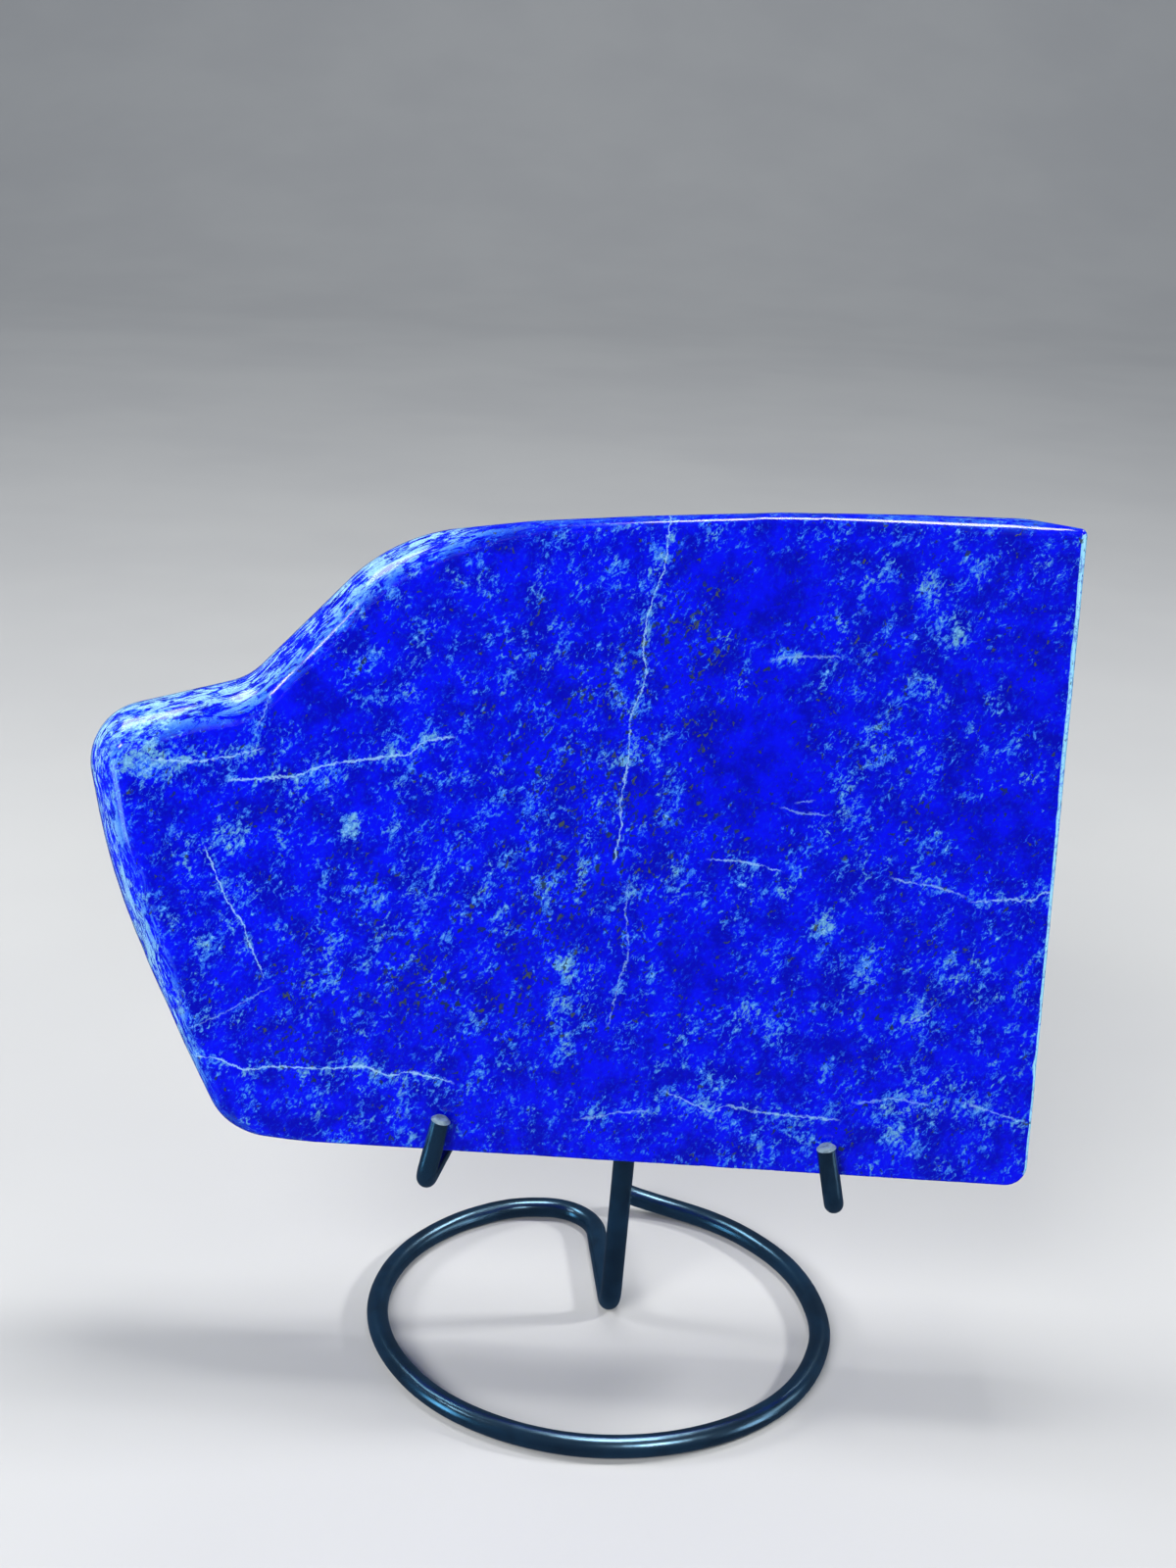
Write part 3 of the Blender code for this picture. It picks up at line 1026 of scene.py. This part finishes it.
@dataclass(frozen=True)
class PaintFinish:
    """Semi-gloss black paint on wire, with a slight orange peel and a few chips."""

    black: Color = (0.0012, 0.0035, 0.008)
    slate: Color = (0.003, 0.014, 0.032)
    sheen_tint: Color = (0.42, 0.74, 1.0)
    bare_steel: Color = (0.42, 0.46, 0.50)
    tone: Grain = Grain(0.12, 3)
    chip_scale: float = 0.5
    chip_amount: float = 0.235
    wave_scale: float = 0.22
    peel_scale: float = 2.4
    peel_share: float = 0.006
    roughness: float = 0.25
    peel_dullness: float = 0.02
    bump_strength: float = 0.35
    bump_distance: float = 0.25 * MM
    ior: float = 1.8
    specular_level: float = 1.0

    def material(self, specks: bpy.types.NodeTree, ripple: bpy.types.NodeTree) -> bpy.types.Material:
        """Builds the paint's material.

        Args:
            specks: The ragged speck group.
            ripple: The handmade ripple group.

        Returns:
            The material.
        """
        maker = MaterialMaker("black_wire_paint")
        w = maker.wiring
        place = w.mapped(maker.place(), size=(1 / MM, 1 / MM, 1 / MM))
        inputs = {"Vector": place, "Wave": self.wave_scale, "Fine": self.peel_scale}
        waves = w.group(ripple, inputs | {"Fine Share": self.peel_share}).outputs
        inputs = {"Vector": place, "Scale": self.chip_scale, "Amount": self.chip_amount, "Outline": 0.0}
        chips = w.group(specks, inputs).outputs["Mask"]
        color = w.blend(w.ease(w.grain(place, self.tone), *USUAL_NOISE), self.black, self.slate)
        return maker.finish({
            "Base Color": w.blend(chips, color, self.bare_steel),
            "Roughness": w.math("MULTIPLY_ADD", waves["Marks"], self.peel_dullness, self.roughness),
            "Metallic": chips,
            "Specular Tint": (*self.sheen_tint, 1.0),
            "IOR": self.ior,
            "Specular IOR Level": self.specular_level,
            "Normal": w.bump(waves["Height"], self.bump_strength, self.bump_distance),
        })


@dataclass(frozen=True)
class CutSteelFinish:
    """Dull bare steel of a sheared rod end, with saw marks."""

    steel: Color = (0.22, 0.31, 0.38)
    stain: Color = (0.10, 0.15, 0.19)
    blotch: Grain = Grain(900, 3)
    blotch_span: Span = (0.45, 0.65)
    mark_stretch: Triple = (300, 3000, 300)
    wave_scale: float = 2.0
    mark_scale: float = 5.0
    mark_share: float = 0.5
    roughness: Span = (0.35, 0.5)
    metallic: float = 0.25
    bump_strength: float = 0.6
    bump_distance: float = 0.1 * MM

    def material(self, ripple: bpy.types.NodeTree) -> bpy.types.Material:
        """Builds the bare end's material.

        Args:
            ripple: The handmade ripple group.

        Returns:
            The material.
        """
        maker = MaterialMaker("cut_steel_end")
        w = maker.wiring
        place = maker.place()
        inputs = {"Vector": w.mapped(place, size=self.mark_stretch), "Wave": self.wave_scale}
        inputs |= {"Fine": self.mark_scale, "Fine Share": self.mark_share}
        waves = w.group(ripple, inputs).outputs
        blotch = w.ease(w.grain(place, self.blotch), *self.blotch_span)
        return maker.finish({
            "Base Color": w.blend(blotch, self.steel, self.stain),
            "Roughness": w.ease(waves["Marks"], 0, 1, *self.roughness),
            "Metallic": self.metallic,
            "Normal": w.bump(waves["Height"], self.bump_strength, self.bump_distance),
        })


@dataclass(frozen=True)
class FloorFinish:
    """Plain pale studio floor."""

    pale: Color = (0.56, 0.56, 0.55)
    shade: Color = (0.53, 0.53, 0.525)
    blotch: Grain = Grain(6, 3)
    blotch_span: Span = (0.3, 0.7)
    roughness: float = 0.9

    def material(self) -> bpy.types.Material:
        """Builds the floor's material.

        Returns:
            The material.
        """
        maker = MaterialMaker("pale_floor")
        w = maker.wiring
        tone = w.ease(w.grain(maker.place(), self.blotch), *self.blotch_span)
        color = w.blend(tone, self.pale, self.shade)
        return maker.finish({"Base Color": color, "Roughness": self.roughness, "Specular IOR Level": 0.0})


# Pieces


@dataclass(frozen=True)
class EdgeStation:
    """One place on the widest outline, with the way inwards, its rounding and its distance round."""

    place: Vector
    inward: Vector
    rounding: float
    along: float


@dataclass
class LapisSlab:
    """The stone: natural on its left, sawn on its right side, foot and faces, polished all over."""

    plan: StandPlan
    # Corners of the outline in millimetres: across, up, bend radius and edge rounding
    corners: tuple[tuple[float, float, float, float], ...] = (
        (70.0, 0.0, 3.8, 0.45),
        (72.2, 115.3, 1.3, 1.1),
        (62.0, 116.7, 22.0, 3.0),
        (20.0, 116.0, 600.0, 2.1),
        (-22.0, 112.0, 0.0, 2.6),
        (-47.2, 108.3, 34.0, 6.5),
        (-72.4, 81.8, 13.0, 7.5),
        (-102.5, 73.2, 11.0, 8.0),
        (-94.9, 39.4, 115.0, 8.0),
        (-72.2, 0.0, 11.5, 3.0),
        (-56.0, 0.0, 0.0, 0.6),
    )
    outline_step: float = 1.0 * MM
    outline_turn: float = radians(3)
    band_angles: tuple[float, ...] = tuple(radians(a) for a in (0, 6, 13, 21, 30, 40, 51, 63, 76, 90))
    depth_ratio: float = 1.25
    flatness: float = 0.3
    flat_margin: float = 0.25 * MM
    broad_start: float = 1.5 * MM
    broad_run: float = 4 * MM
    flat_middle: float = 0.5 * MM
    slow_scale: float = 90
    quick_scale: float = 420
    quick_shift: Triple = (3, 1, 7)
    nick_scale: float = 260
    nick_shift: Triple = (9, 4, 2)
    nick_threshold: float = 0.35
    nick_depth: float = 1.2 * MM
    nick_limit: float = 1.15 * MM
    chip_limit: float = 2.2 * MM
    sharp_wear: Span = (0.22, 0.16)
    broad_wear: float = 0.07
    right_side: float = -0.9
    crease: float = radians(30)
    stations: list[Span] = field(default_factory=list)

    def rounding_at(self, along: float, around: float) -> float:
        """Edge rounding at a place on the outline, eased between the corners' values.

        Args:
            along: Distance along the outline.
            around: Length of the whole outline.

        Returns:
            The rounding.
        """
        for i, (start, value) in enumerate(self.stations):
            end, following = self.stations[(i + 1) % len(self.stations)]
            length = (end - start) % around
            offset = (along - start) % around
            if offset <= length:
                return value + (following - value) * eased(offset / length)
        return self.stations[0][1]

    def worn(self, rounding: float, place: Vector) -> float:
        """Edge rounding with the nicks and hand-polished unevenness of a real edge.

        Args:
            rounding: The even rounding.
            place: Place on the outline.

        Returns:
            The uneven rounding.
        """
        slow = noise.noise(place * self.slow_scale)
        if rounding >= self.chip_limit:
            return rounding * (1 + self.broad_wear * slow)
        quick = noise.noise(place * self.quick_scale + Vector(self.quick_shift))
        nick = noise.noise(place * self.nick_scale + Vector(self.nick_shift)) - self.nick_threshold
        uneven = rounding * (1 + self.sharp_wear[0] * slow + self.sharp_wear[1] * quick)
        return min(uneven + max(0.0, nick) * self.nick_depth, max(rounding, self.nick_limit))

    def outline(self) -> list[EdgeStation]:
        """The widest outline.

        Returns:
            Its stations, anticlockwise from the lower right corner.
        """
        corners = [(Vector((x * MM, z * MM, 0)), radius * MM) for x, z, radius, rounding in self.corners]
        points, numbers = rounded_path(corners, self.outline_turn, closed=True)
        distances = [0.0]
        for a, b in zip(points, points[1:] + points[:1]):
            distances.append(distances[-1] + (b - a).length)
        self.stations = []
        for i, corner in enumerate(self.corners):
            own = [k for k, number in enumerate(numbers) if number == i]
            self.stations.append((distances[own[len(own) // 2]], corner[3] * MM))
        places: list[Vector] = []
        measures: list[Span] = []
        for i, a in enumerate(points):
            b = points[(i + 1) % len(points)]
            pieces = max(1, round((b - a).length / self.outline_step))
            for j in range(pieces):
                place = a.lerp(b, j / pieces)
                along = distances[i] + (distances[i + 1] - distances[i]) * j / pieces
                places.append(place)
                measures.append((self.worn(self.rounding_at(along, distances[-1]), place), along))
        rows = []
        for i, place in enumerate(places):
            following = places[(i + 1) % len(places)]
            heading = (place - places[i - 1]).normalized() + (following - place).normalized()
            inward = Vector((-heading.y, heading.x, 0)).normalized()
            rows.append(EdgeStation(place, inward, *measures[i]))
        return rows

    def section(self, rounding: float) -> list[Level]:
        """The edge from the front face to the back one, a little flatter than round where it is broad.

        Args:
            rounding: How far the edge is rounded inwards.

        Returns:
            (inset, depth, rim) levels, where rim tells how far a level is into a broad edge.
        """
        thickness = self.plan.slab_thickness
        depth = min(rounding * self.depth_ratio, thickness / 2 - self.flat_middle)
        broad = min(1.0, max(0.0, rounding - self.broad_start) / self.broad_run)
        front = [(rounding + self.flat_margin, 0.0, 0.0)]
        for angle in self.band_angles:
            power = 1 + self.flatness * broad
            inset = rounding * (1 - sin(angle) ** power)
            reach = depth * (1 - max(0.0, cos(angle)) ** power)
            front.append((inset, reach, broad * angle / self.band_angles[-1]))
        return front + [(inset, thickness - reach, rim) for inset, reach, rim in reversed(front)]

    def build(self) -> bpy.types.Object:
        """Draws the outline as a ring, extrudes it band by band to the back, and closes both faces.

        Returns:
            The slab, placed in the frame.
        """
        rows = self.outline()
        sections = [self.section(row.rounding) for row in rows]
        deselect_everything()
        bpy.ops.mesh.primitive_circle_add(vertices=len(rows), radius=self.plan.slab_thickness)
        slab = bpy.context.object
        slab.name = slab.data.name = "lapis_slab_polished"
        bpy.ops.object.mode_set(mode="EDIT")
        front, *deeper = zip(*sections)
        rings = [self.first_ring(slab)]
        self.place_ring(slab, rings[0], rows, front)
        bpy.ops.mesh.edge_face_add()
        for levels in deeper:
            rings.append(self.next_ring(slab, rings[-1]))
            self.place_ring(slab, rings[-1], rows, levels)
        bpy.ops.mesh.edge_face_add()
        bpy.ops.mesh.select_all(action="SELECT")
        bpy.ops.mesh.normals_make_consistent(inside=False)
        bpy.ops.object.mode_set(mode="OBJECT")
        bpy.ops.object.shade_smooth_by_angle(angle=self.crease)
        self.mark_edge(slab, rings, rows, sections)
        settle_at_origin(slab, self.plan.slab_matrix())
        return slab

    def mark_edge(
        self,
        slab: bpy.types.Object,
        rings: list[list[int]],
        rows: list[EdgeStation],
        sections: list[list[Level]],
    ) -> None:
        """Stores where the edge is worn or sawn, and each point's run along it and depth in millimetres.

        Args:
            slab: The finished slab mesh.
            rings: Vertex numbers of each level.
            rows: The outline's stations.
            sections: The levels at each station.
        """
        count = len(slab.data.vertices)
        rims = [0.0] * count
        sawn = [0.0] * count
        runs = [(0.0, 0.0)] * count
        for level, ring in enumerate(rings):
            for number, row, section in zip(ring, rows, sections):
                inset, depth, rims[number] = section[level]
                # Marks the sawn right bevel, which gets a painted reflection
                sawn[number] = float(0 < inset < row.rounding and row.inward.x < self.right_side)
                runs[number] = (row.along / MM, depth / MM)
        slab.data.attributes.new(RIM_NAME, "FLOAT", "POINT").data.foreach_set("value", rims)
        slab.data.attributes.new(SAWN_NAME, "FLOAT", "POINT").data.foreach_set("value", sawn)
        layer = slab.data.uv_layers.new(name=RUN_NAME)
        longest = max(run for run, depth in runs)
        for face in slab.data.polygons:
            far = max(runs[number][0] for number in face.vertices)
            for loop in face.loop_indices:
                run, depth = runs[slab.data.loops[loop].vertex_index]
                past_start = far == longest and run == 0.0
                layer.data[loop].uv = (longest + 1.0 if past_start else run, depth)

    def first_ring(self, slab: bpy.types.Object) -> list[int]:
        """Vertex numbers of the circle in their order round it."""
        return [vertex.index for vertex in bmesh.from_edit_mesh(slab.data).verts]

    def next_ring(self, slab: bpy.types.Object, ring: list[int]) -> list[int]:
        """Extrudes the last ring and finds the new vertices in the same order.

        Args:
            slab: The slab in edit mode, with its last ring selected.
            ring: Vertex numbers of the last ring.

        Returns:
            Vertex numbers of the new ring.
        """
        bpy.ops.mesh.select_all(action="DESELECT")
        shape = bmesh.from_edit_mesh(slab.data)
        shape.verts.ensure_lookup_table()
        count = len(shape.verts)
        for a, b in zip(ring, ring[1:] + ring[:1]):
            shape.edges.get((shape.verts[a], shape.verts[b])).select_set(True)
        bmesh.update_edit_mesh(slab.data)
        bpy.ops.mesh.extrude_edges_move()
        shape = bmesh.from_edit_mesh(slab.data)
        shape.verts.ensure_lookup_table()
        following = []
        for number in ring:
            vertex = shape.verts[number]
            others = [edge.other_vert(vertex).index for edge in vertex.link_edges]
            following.append(next(index for index in others if index >= count))
        return following

    def place_ring(
        self, slab: bpy.types.Object, ring: list[int], rows: list[EdgeStation], levels: tuple[Level, ...]
    ) -> None:
        """Moves a ring's vertices to their places on one level of the edge's section.

        Args:
            slab: The slab in edit mode.
            ring: The ring's vertex numbers.
            rows: The outline's stations.
            levels: The level's inset, depth and rim at each station.
        """
        shape = bmesh.from_edit_mesh(slab.data)
        shape.verts.ensure_lookup_table()
        for number, row, (inset, depth, _) in zip(ring, rows, levels):
            inner = row.place + row.inward * inset
            shape.verts[number].co = (inner.x, depth, inner.y)
        bmesh.update_edit_mesh(slab.data)

    def dress(self, slab: bpy.types.Object, stone: bpy.types.Material) -> None:
        """Gives the slab its stone and lets it stand for the plain solid.

        Args:
            slab: The slab.
            stone: Its material.
        """
        slab.data.materials.append(stone)
        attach(slab, "root")
        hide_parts("lapis_slab")


@dataclass
class BaseWire:
    """The heavier rod: ring on the table, leg, post and back rest."""

    plan: StandPlan
    # Angle in degrees round the ring and its radius there in millimetres
    ring_radii: tuple[Span, ...] = (
        (82.6, 42.4), (60, 42.6), (35, 42.1), (12, 41.9), (-12, 42.4), (-45, 43.1), (-90, 43.0),
        (-125, 42.5), (-150, 42.2), (-185, 42.6), (-205, 42.7), (-225, 42.5), (-238, 42.2),
    )
    ring_step: float = radians(2)
    free_end_sweep: float = radians(40)
    free_end_rise: float = 2.1 * MM
    free_end_curl: int = 4
    # Corners of the leg, each with its bend radius
    leg_bends: tuple[Triple, ...] = (
        (-17.5 * MM, 38.2 * MM, 18.0 * MM),
        (-1.9 * MM, 39.2 * MM, 10.5 * MM),
    )
    post_bend_radius: float = 4.0 * MM
    back_rest_length: float = 46 * MM
    back_rest_bend: float = 12 * MM
    bend_step: float = radians(5)
    sides: int = 32
    end_chamfer: float = 0.35 * MM

    def ring_radius(self, angle: float) -> float:
        """Radius of the hand-bent ring at an angle, eased between the listed radii.

        Args:
            angle: Angle measured anticlockwise from +X.

        Returns:
            The radius at the rod's centre.
        """
        degrees_round = angle / radians(1)
        for (start, first), (end, second) in zip(self.ring_radii, self.ring_radii[1:]):
            if degrees_round >= end:
                share = (start - degrees_round) / (start - end)
                return (first + (second - first) * eased(share)) * MM
        return self.ring_radii[-1][1] * MM

    def ring_point(self, angle: float) -> Vector:
        """Centre of the rod on the ring, a little higher towards the free end.

        Args:
            angle: Angle measured anticlockwise from +X.

        Returns:
            The place, from the ring's middle.
        """
        radius = self.ring_radius(angle)
        lift = max(0.0, 1 - (radians(self.ring_radii[0][0]) - angle) / self.free_end_sweep)
        height = self.plan.base_radius + self.free_end_rise * lift ** self.free_end_curl
        return Vector((radius * cos(angle), radius * sin(angle), height))

    def route(self) -> list[Vector]:
        """Centre line from the ring's free end to the top of the back rest.

        Returns:
            The line's points, from the ring's middle.
        """
        plan = self.plan
        start = radians(self.ring_radii[0][0])
        end = radians(self.ring_radii[-1][0])
        steps = ceil((start - end) / self.ring_step)
        corners = [(self.ring_point(start + (end - start) * i / steps), 0.0) for i in range(steps + 1)]
        corners += [(Vector((x, y, plan.base_radius)), radius) for x, y, radius in self.leg_bends]
        corners.append((plan.post_point(plan.base_radius), self.post_bend_radius))
        knee = plan.post_point(plan.knee_height())
        corners.append((knee, self.back_rest_bend))
        rise = Vector((sin(plan.post_side_lean), sin(plan.slab_lean), cos(plan.slab_lean)))
        corners.append((knee + rise * self.back_rest_length, 0.0))
        return evenly_spaced(rounded_path(corners, self.bend_step)[0], ROD_GAP)

    def build(self) -> bpy.types.Object:
        """Bends the rod.

        Returns:
            The rod, placed in the frame.
        """
        radius = self.plan.base_radius
        wire = rod_from_route("base_wire_painted", self.route(), radius, self.sides, self.end_chamfer)
        settle_at_origin(wire, Matrix.Translation(self.plan.ring_centre()))
        return wire

    def dress(self, wire: bpy.types.Object, paint: bpy.types.Material, bare: bpy.types.Material) -> None:
        """Paints the rod, leaves its cut ends bare and lets it stand for the plain solid."""
        dress_wire(wire, paint, bare, "base_wire")


@dataclass
class CradleWire:
    """The lighter rod: left hook, arm, crossbar, arm and right hook."""

    plan: StandPlan
    hook_spread: float = 36.5 * MM
    hook_shift: float = 1.1 * MM
    hook_heights: tuple[float, float] = (13.5 * MM, 12.7 * MM)
    hook_leans: tuple[float, float] = (radians(12.3), radians(11.2))
    hook_bend: float = 3.5 * MM
    arm_turns: tuple[float, float] = (radians(8.0), radians(0.5))
    arm_bend: float = 4.0 * MM
    bend_step: float = radians(6)
    sides: int = 32
    end_chamfer: float = 0.55 * MM

    def route(self) -> list[Vector]:
        """Centre line from the left hook's tip to the right one's.

        Returns:
            The line's points in the cradle's own axes.
        """
        plan = self.plan
        reach = plan.slab_setback() + plan.touch_gap + plan.cradle_radius
        arm_run = reach - plan.bar_setback()
        halves = []
        for side, height, lean, turn in zip((-1, 1), self.hook_heights, self.hook_leans, self.arm_turns):
            elbow = Vector((side * self.hook_spread + self.hook_shift, -reach, 0))
            tip = elbow + Vector((-side * height * tan(lean), 0, height))
            shoulder = elbow + Vector((-side * arm_run * tan(turn), arm_run, 0))
            halves.append([(tip, 0.0), (elbow, self.hook_bend), (shoulder, self.arm_bend)])
        return evenly_spaced(rounded_path(halves[0] + halves[1][::-1], self.bend_step)[0], ROD_GAP)

    def build(self) -> bpy.types.Object:
        """Bends the rod.

        Returns:
            The rod, placed in the frame.
        """
        radius = self.plan.cradle_radius
        wire = rod_from_route("cradle_wire_painted", self.route(), radius, self.sides, self.end_chamfer)
        settle_at_origin(wire, self.plan.cradle_matrix())
        return wire

    def dress(self, wire: bpy.types.Object, paint: bpy.types.Material, bare: bpy.types.Material) -> None:
        """Paints the rod, leaves its cut ends bare and lets it stand for the plain solid."""
        dress_wire(wire, paint, bare, "cradle_wire")


def dress_wire(
    wire: bpy.types.Object, paint: bpy.types.Material, bare: bpy.types.Material, node: str
) -> None:
    """Paints a rod and leaves its cut ends bare.

    Args:
        wire: The rod.
        paint: Material of its skin.
        bare: Material of its cut ends.
        node: The plain solid that it stands for.
    """
    wire.data.materials.clear()
    wire.data.materials.append(paint)
    wire.data.materials.append(bare)
    for number in cut_faces(wire):
        wire.data.polygons[number].material_index = 1
    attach(wire, "root")
    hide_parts(node)


@dataclass
class WeldBead:
    """The painted weld that holds the crossbar to the post."""

    plan: StandPlan
    half_width: float = 2.6 * MM
    half_depth: float = 1.5 * MM
    half_height: float = 1.9 * MM
    lumpiness: float = 0.25
    lump_scale: float = 2.2

    def build(self) -> bpy.types.Object:
        """Shapes a lump of weld between the two rods.

        Returns:
            The bead, placed in the frame.
        """
        deselect_everything()
        bpy.ops.mesh.primitive_ico_sphere_add(subdivisions=4, radius=1)
        bead = bpy.context.object
        bead.name = bead.data.name = "crossbar_weld"
        size = Vector((self.half_width, self.half_depth, self.half_height))
        for vertex in bead.data.vertices:
            swell = 1 + self.lumpiness * noise.noise(vertex.co * self.lump_scale)
            vertex.co = vertex.co * swell * size
        bpy.ops.object.shade_smooth()
        setback = (self.plan.bar_setback() + self.plan.base_radius - self.plan.cradle_radius) / 2
        settle_at_origin(bead, self.plan.cradle_matrix() @ Matrix.Translation((0, -setback, 0)))
        return bead

    def dress(self, bead: bpy.types.Object, paint: bpy.types.Material) -> None:
        """Paints the bead.

        Args:
            bead: The bead.
            paint: Its material.
        """
        bead.data.materials.append(paint)
        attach(bead, "root")


# Studio


@dataclass(frozen=True)
class SoftBox:
    """A rectangular studio light: its place, sides and target in metres, and its power in watts."""

    name: str
    place: Triple
    width: float
    height: float
    power: float
    color: Color = (1.0, 1.0, 1.0)
    target: Triple = (0, 0, 0.08)

    def set_up(self, role: LightRole) -> None:
        """Adds the light.

        Args:
            role: What the light is for.
        """
        deselect_everything()
        bpy.ops.object.light_add(type="AREA", location=self.place)
        lamp = bpy.context.object
        lamp.name = self.name
        aim = Vector(self.target) - Vector(self.place)
        lamp.rotation_euler = aim.to_track_quat("-Z", "Y").to_euler()
        lamp.data.shape = "RECTANGLE"
        lamp.data.size = self.width
        lamp.data.size_y = self.height
        lamp.data.energy = self.power
        lamp.data.color = self.color
        lamp.visible_camera = False
        lamp.visible_glossy = role is LightRole.GLINT
        lamp.visible_diffuse = role is LightRole.BODY


@dataclass
class Studio:
    """Pale floor that sweeps up behind, soft lights and the camera."""

    plan: StandPlan
    eye: Triple = (-6.76 * MM, -364.7 * MM, 231.2 * MM)
    pitch: float = radians(18.56)
    roll: float = radians(2.6)
    lens: float = 49.93
    sensor: float = 36.0
    floor_half_width: float = 4.0
    floor_front: float = -3.0
    floor_back: float = 1.6
    sweep_radius: float = 1.4
    sweep_steps: int = 24
    wall_height: float = 2.4
    world_color: Color = (0.45, 0.66, 1.0)
    world_light: float = 0.15
    soft_lights: tuple[SoftBox, ...] = (
        SoftBox("front_softbox", (-0.35, -0.80, 0.62), 0.5, 0.5, 9.5),
        SoftBox("right_softbox", (0.75, 0.12, 0.50), 0.10, 0.10, 4.6),
        SoftBox("left_softbox", (-0.75, 0.08, 0.42), 0.20, 0.20, 3.4),
        SoftBox("top_softbox", (0.02, 0.16, 1.00), 0.26, 0.20, 4.0),
        SoftBox("backdrop_softbox", (0.0, 0.8, 1.7), 1.6, 0.6, 18.0, target=(0, 2.6, 0.9)),
    )
    glint_lights: tuple[SoftBox, ...] = (
        SoftBox("ceiling_glint", (0.08, 0.02, 0.95), 0.24, 0.30, 4.5),
        SoftBox("left_glint", (-0.58, 0.24, 0.74), 0.24, 0.24, 1.9, (0.75, 0.92, 1.0)),
        SoftBox("right_back_glint", (0.50, 0.35, 0.78), 0.22, 0.22, 2.2),
        SoftBox("shoulder_glint", (-0.80, -0.22, 0.62), 0.09, 0.10, 0.6),
        SoftBox("left_low_glint", (-0.95, -0.30, 0.02), 0.25, 0.40, 2.2, (0.35, 0.75, 1.0)),
        SoftBox("right_low_glint", (0.95, -0.30, 0.02), 0.25, 0.40, 1.5, (0.75, 0.88, 1.0)),
        SoftBox("right_glint", (0.90, 0.0, 0.25), 0.40, 0.30, 0.7, (0.85, 0.95, 1.0)),
        SoftBox("front_glint", (0.45, -0.80, 0.62), 0.25, 0.25, 5.0),
    )

    def lay_floor(self) -> bpy.types.Object:
        """A floor that sweeps up into a wall, spun from its own back edge.

        Returns:
            The floor.
        """
        deselect_everything()
        bpy.ops.mesh.primitive_plane_add(size=2)
        floor = bpy.context.object
        floor.name = floor.data.name = "studio_floor"
        for vertex in floor.data.vertices:
            y = self.floor_back if vertex.co.y > 0 else self.floor_front
            vertex.co = (vertex.co.x * self.floor_half_width, y, 0)
        bpy.ops.object.mode_set(mode="EDIT")
        bpy.ops.mesh.select_all(action="DESELECT")
        shape = bmesh.from_edit_mesh(floor.data)
        for edge in shape.edges:
            edge.select_set(all(abs(v.co.y - self.floor_back) < MM for v in edge.verts))
        bmesh.update_edit_mesh(floor.data)
        centre = (0, self.floor_back, self.sweep_radius)
        bpy.ops.mesh.spin(steps=self.sweep_steps, angle=-pi / 2, center=centre, axis=(1, 0, 0))
        bpy.ops.mesh.extrude_edges_move()
        bpy.ops.transform.translate(value=(0, 0, self.wall_height))
        bpy.ops.mesh.select_all(action="SELECT")
        bpy.ops.mesh.remove_doubles(threshold=MM)
        bpy.ops.mesh.normals_make_consistent(inside=False)
        bpy.ops.object.mode_set(mode="OBJECT")
        bpy.ops.object.shade_smooth()
        floor.data.materials.append(FloorFinish().material())
        floor.visible_glossy = False
        return floor

    def place_camera(self) -> None:
        """Sets the camera at the photograph's viewing angle."""
        deselect_everything()
        bpy.ops.object.camera_add()
        camera = bpy.context.object
        camera.name = "front_camera"
        camera.data.sensor_fit = "VERTICAL"
        camera.data.sensor_height = self.sensor
        camera.data.lens = self.lens
        forward = Vector((0, cos(self.pitch), -sin(self.pitch)))
        level_up = Vector((0, sin(self.pitch), cos(self.pitch)))
        side = Vector((1, 0, 0)) * cos(self.roll) + level_up * sin(self.roll)
        up = level_up * cos(self.roll) - Vector((1, 0, 0)) * sin(self.roll)
        turn = Matrix((side, up, -forward)).transposed()
        eye = self.plan.ring_centre() + Vector(self.eye)
        camera.matrix_world = Matrix.Translation(eye) @ turn.to_4x4()
        bpy.context.scene.camera = camera

    def light_world(self) -> None:
        """Dim even light from all round."""
        world = bpy.data.worlds.new("soft_room")
        world.use_nodes = True
        background = world.node_tree.nodes["Background"]
        background.inputs["Color"].default_value = (*self.world_color, 1.0)
        background.inputs["Strength"].default_value = self.world_light
        bpy.context.scene.world = world

    def set_up(self) -> None:
        """Builds the whole studio."""
        self.lay_floor()
        self.light_world()
        for light in self.soft_lights:
            light.set_up(LightRole.BODY)
        for light in self.glint_lights:
            light.set_up(LightRole.GLINT)
        self.place_camera()
        bpy.context.scene.view_settings.view_transform = "Standard"


def report(piece: bpy.types.Object) -> None:
    """Logs a finished piece with its size.

    Args:
        piece: The piece.
    """
    sides = " x ".join(f"{side / MM:.1f}" for side in piece.dimensions)
    LOG.info("%s: %d faces, %s mm", piece.name, len(piece.data.polygons), sides)


def main() -> None:
    """Builds and dresses every piece, then the studio."""
    logging.basicConfig(level=logging.INFO, format="%(name)s %(message)s")
    plan = StandPlan()
    specks = speck_group()
    ripple = ripple_group()
    stone = LapisFinish(plan).material(specks, ripple, vein_group())
    paint = PaintFinish().material(specks, ripple)
    bare = CutSteelFinish().material(ripple)

    slab_maker = LapisSlab(plan)
    slab = slab_maker.build()
    slab_maker.dress(slab, stone)
    report(slab)

    for wire_maker in (BaseWire(plan), CradleWire(plan)):
        wire = wire_maker.build()
        wire_maker.dress(wire, paint, bare)
        report(wire)

    weld_maker = WeldBead(plan)
    weld = weld_maker.build()
    weld_maker.dress(weld, paint)
    report(weld)

    Studio(plan).set_up()


if __name__ == "__main__":
    main()
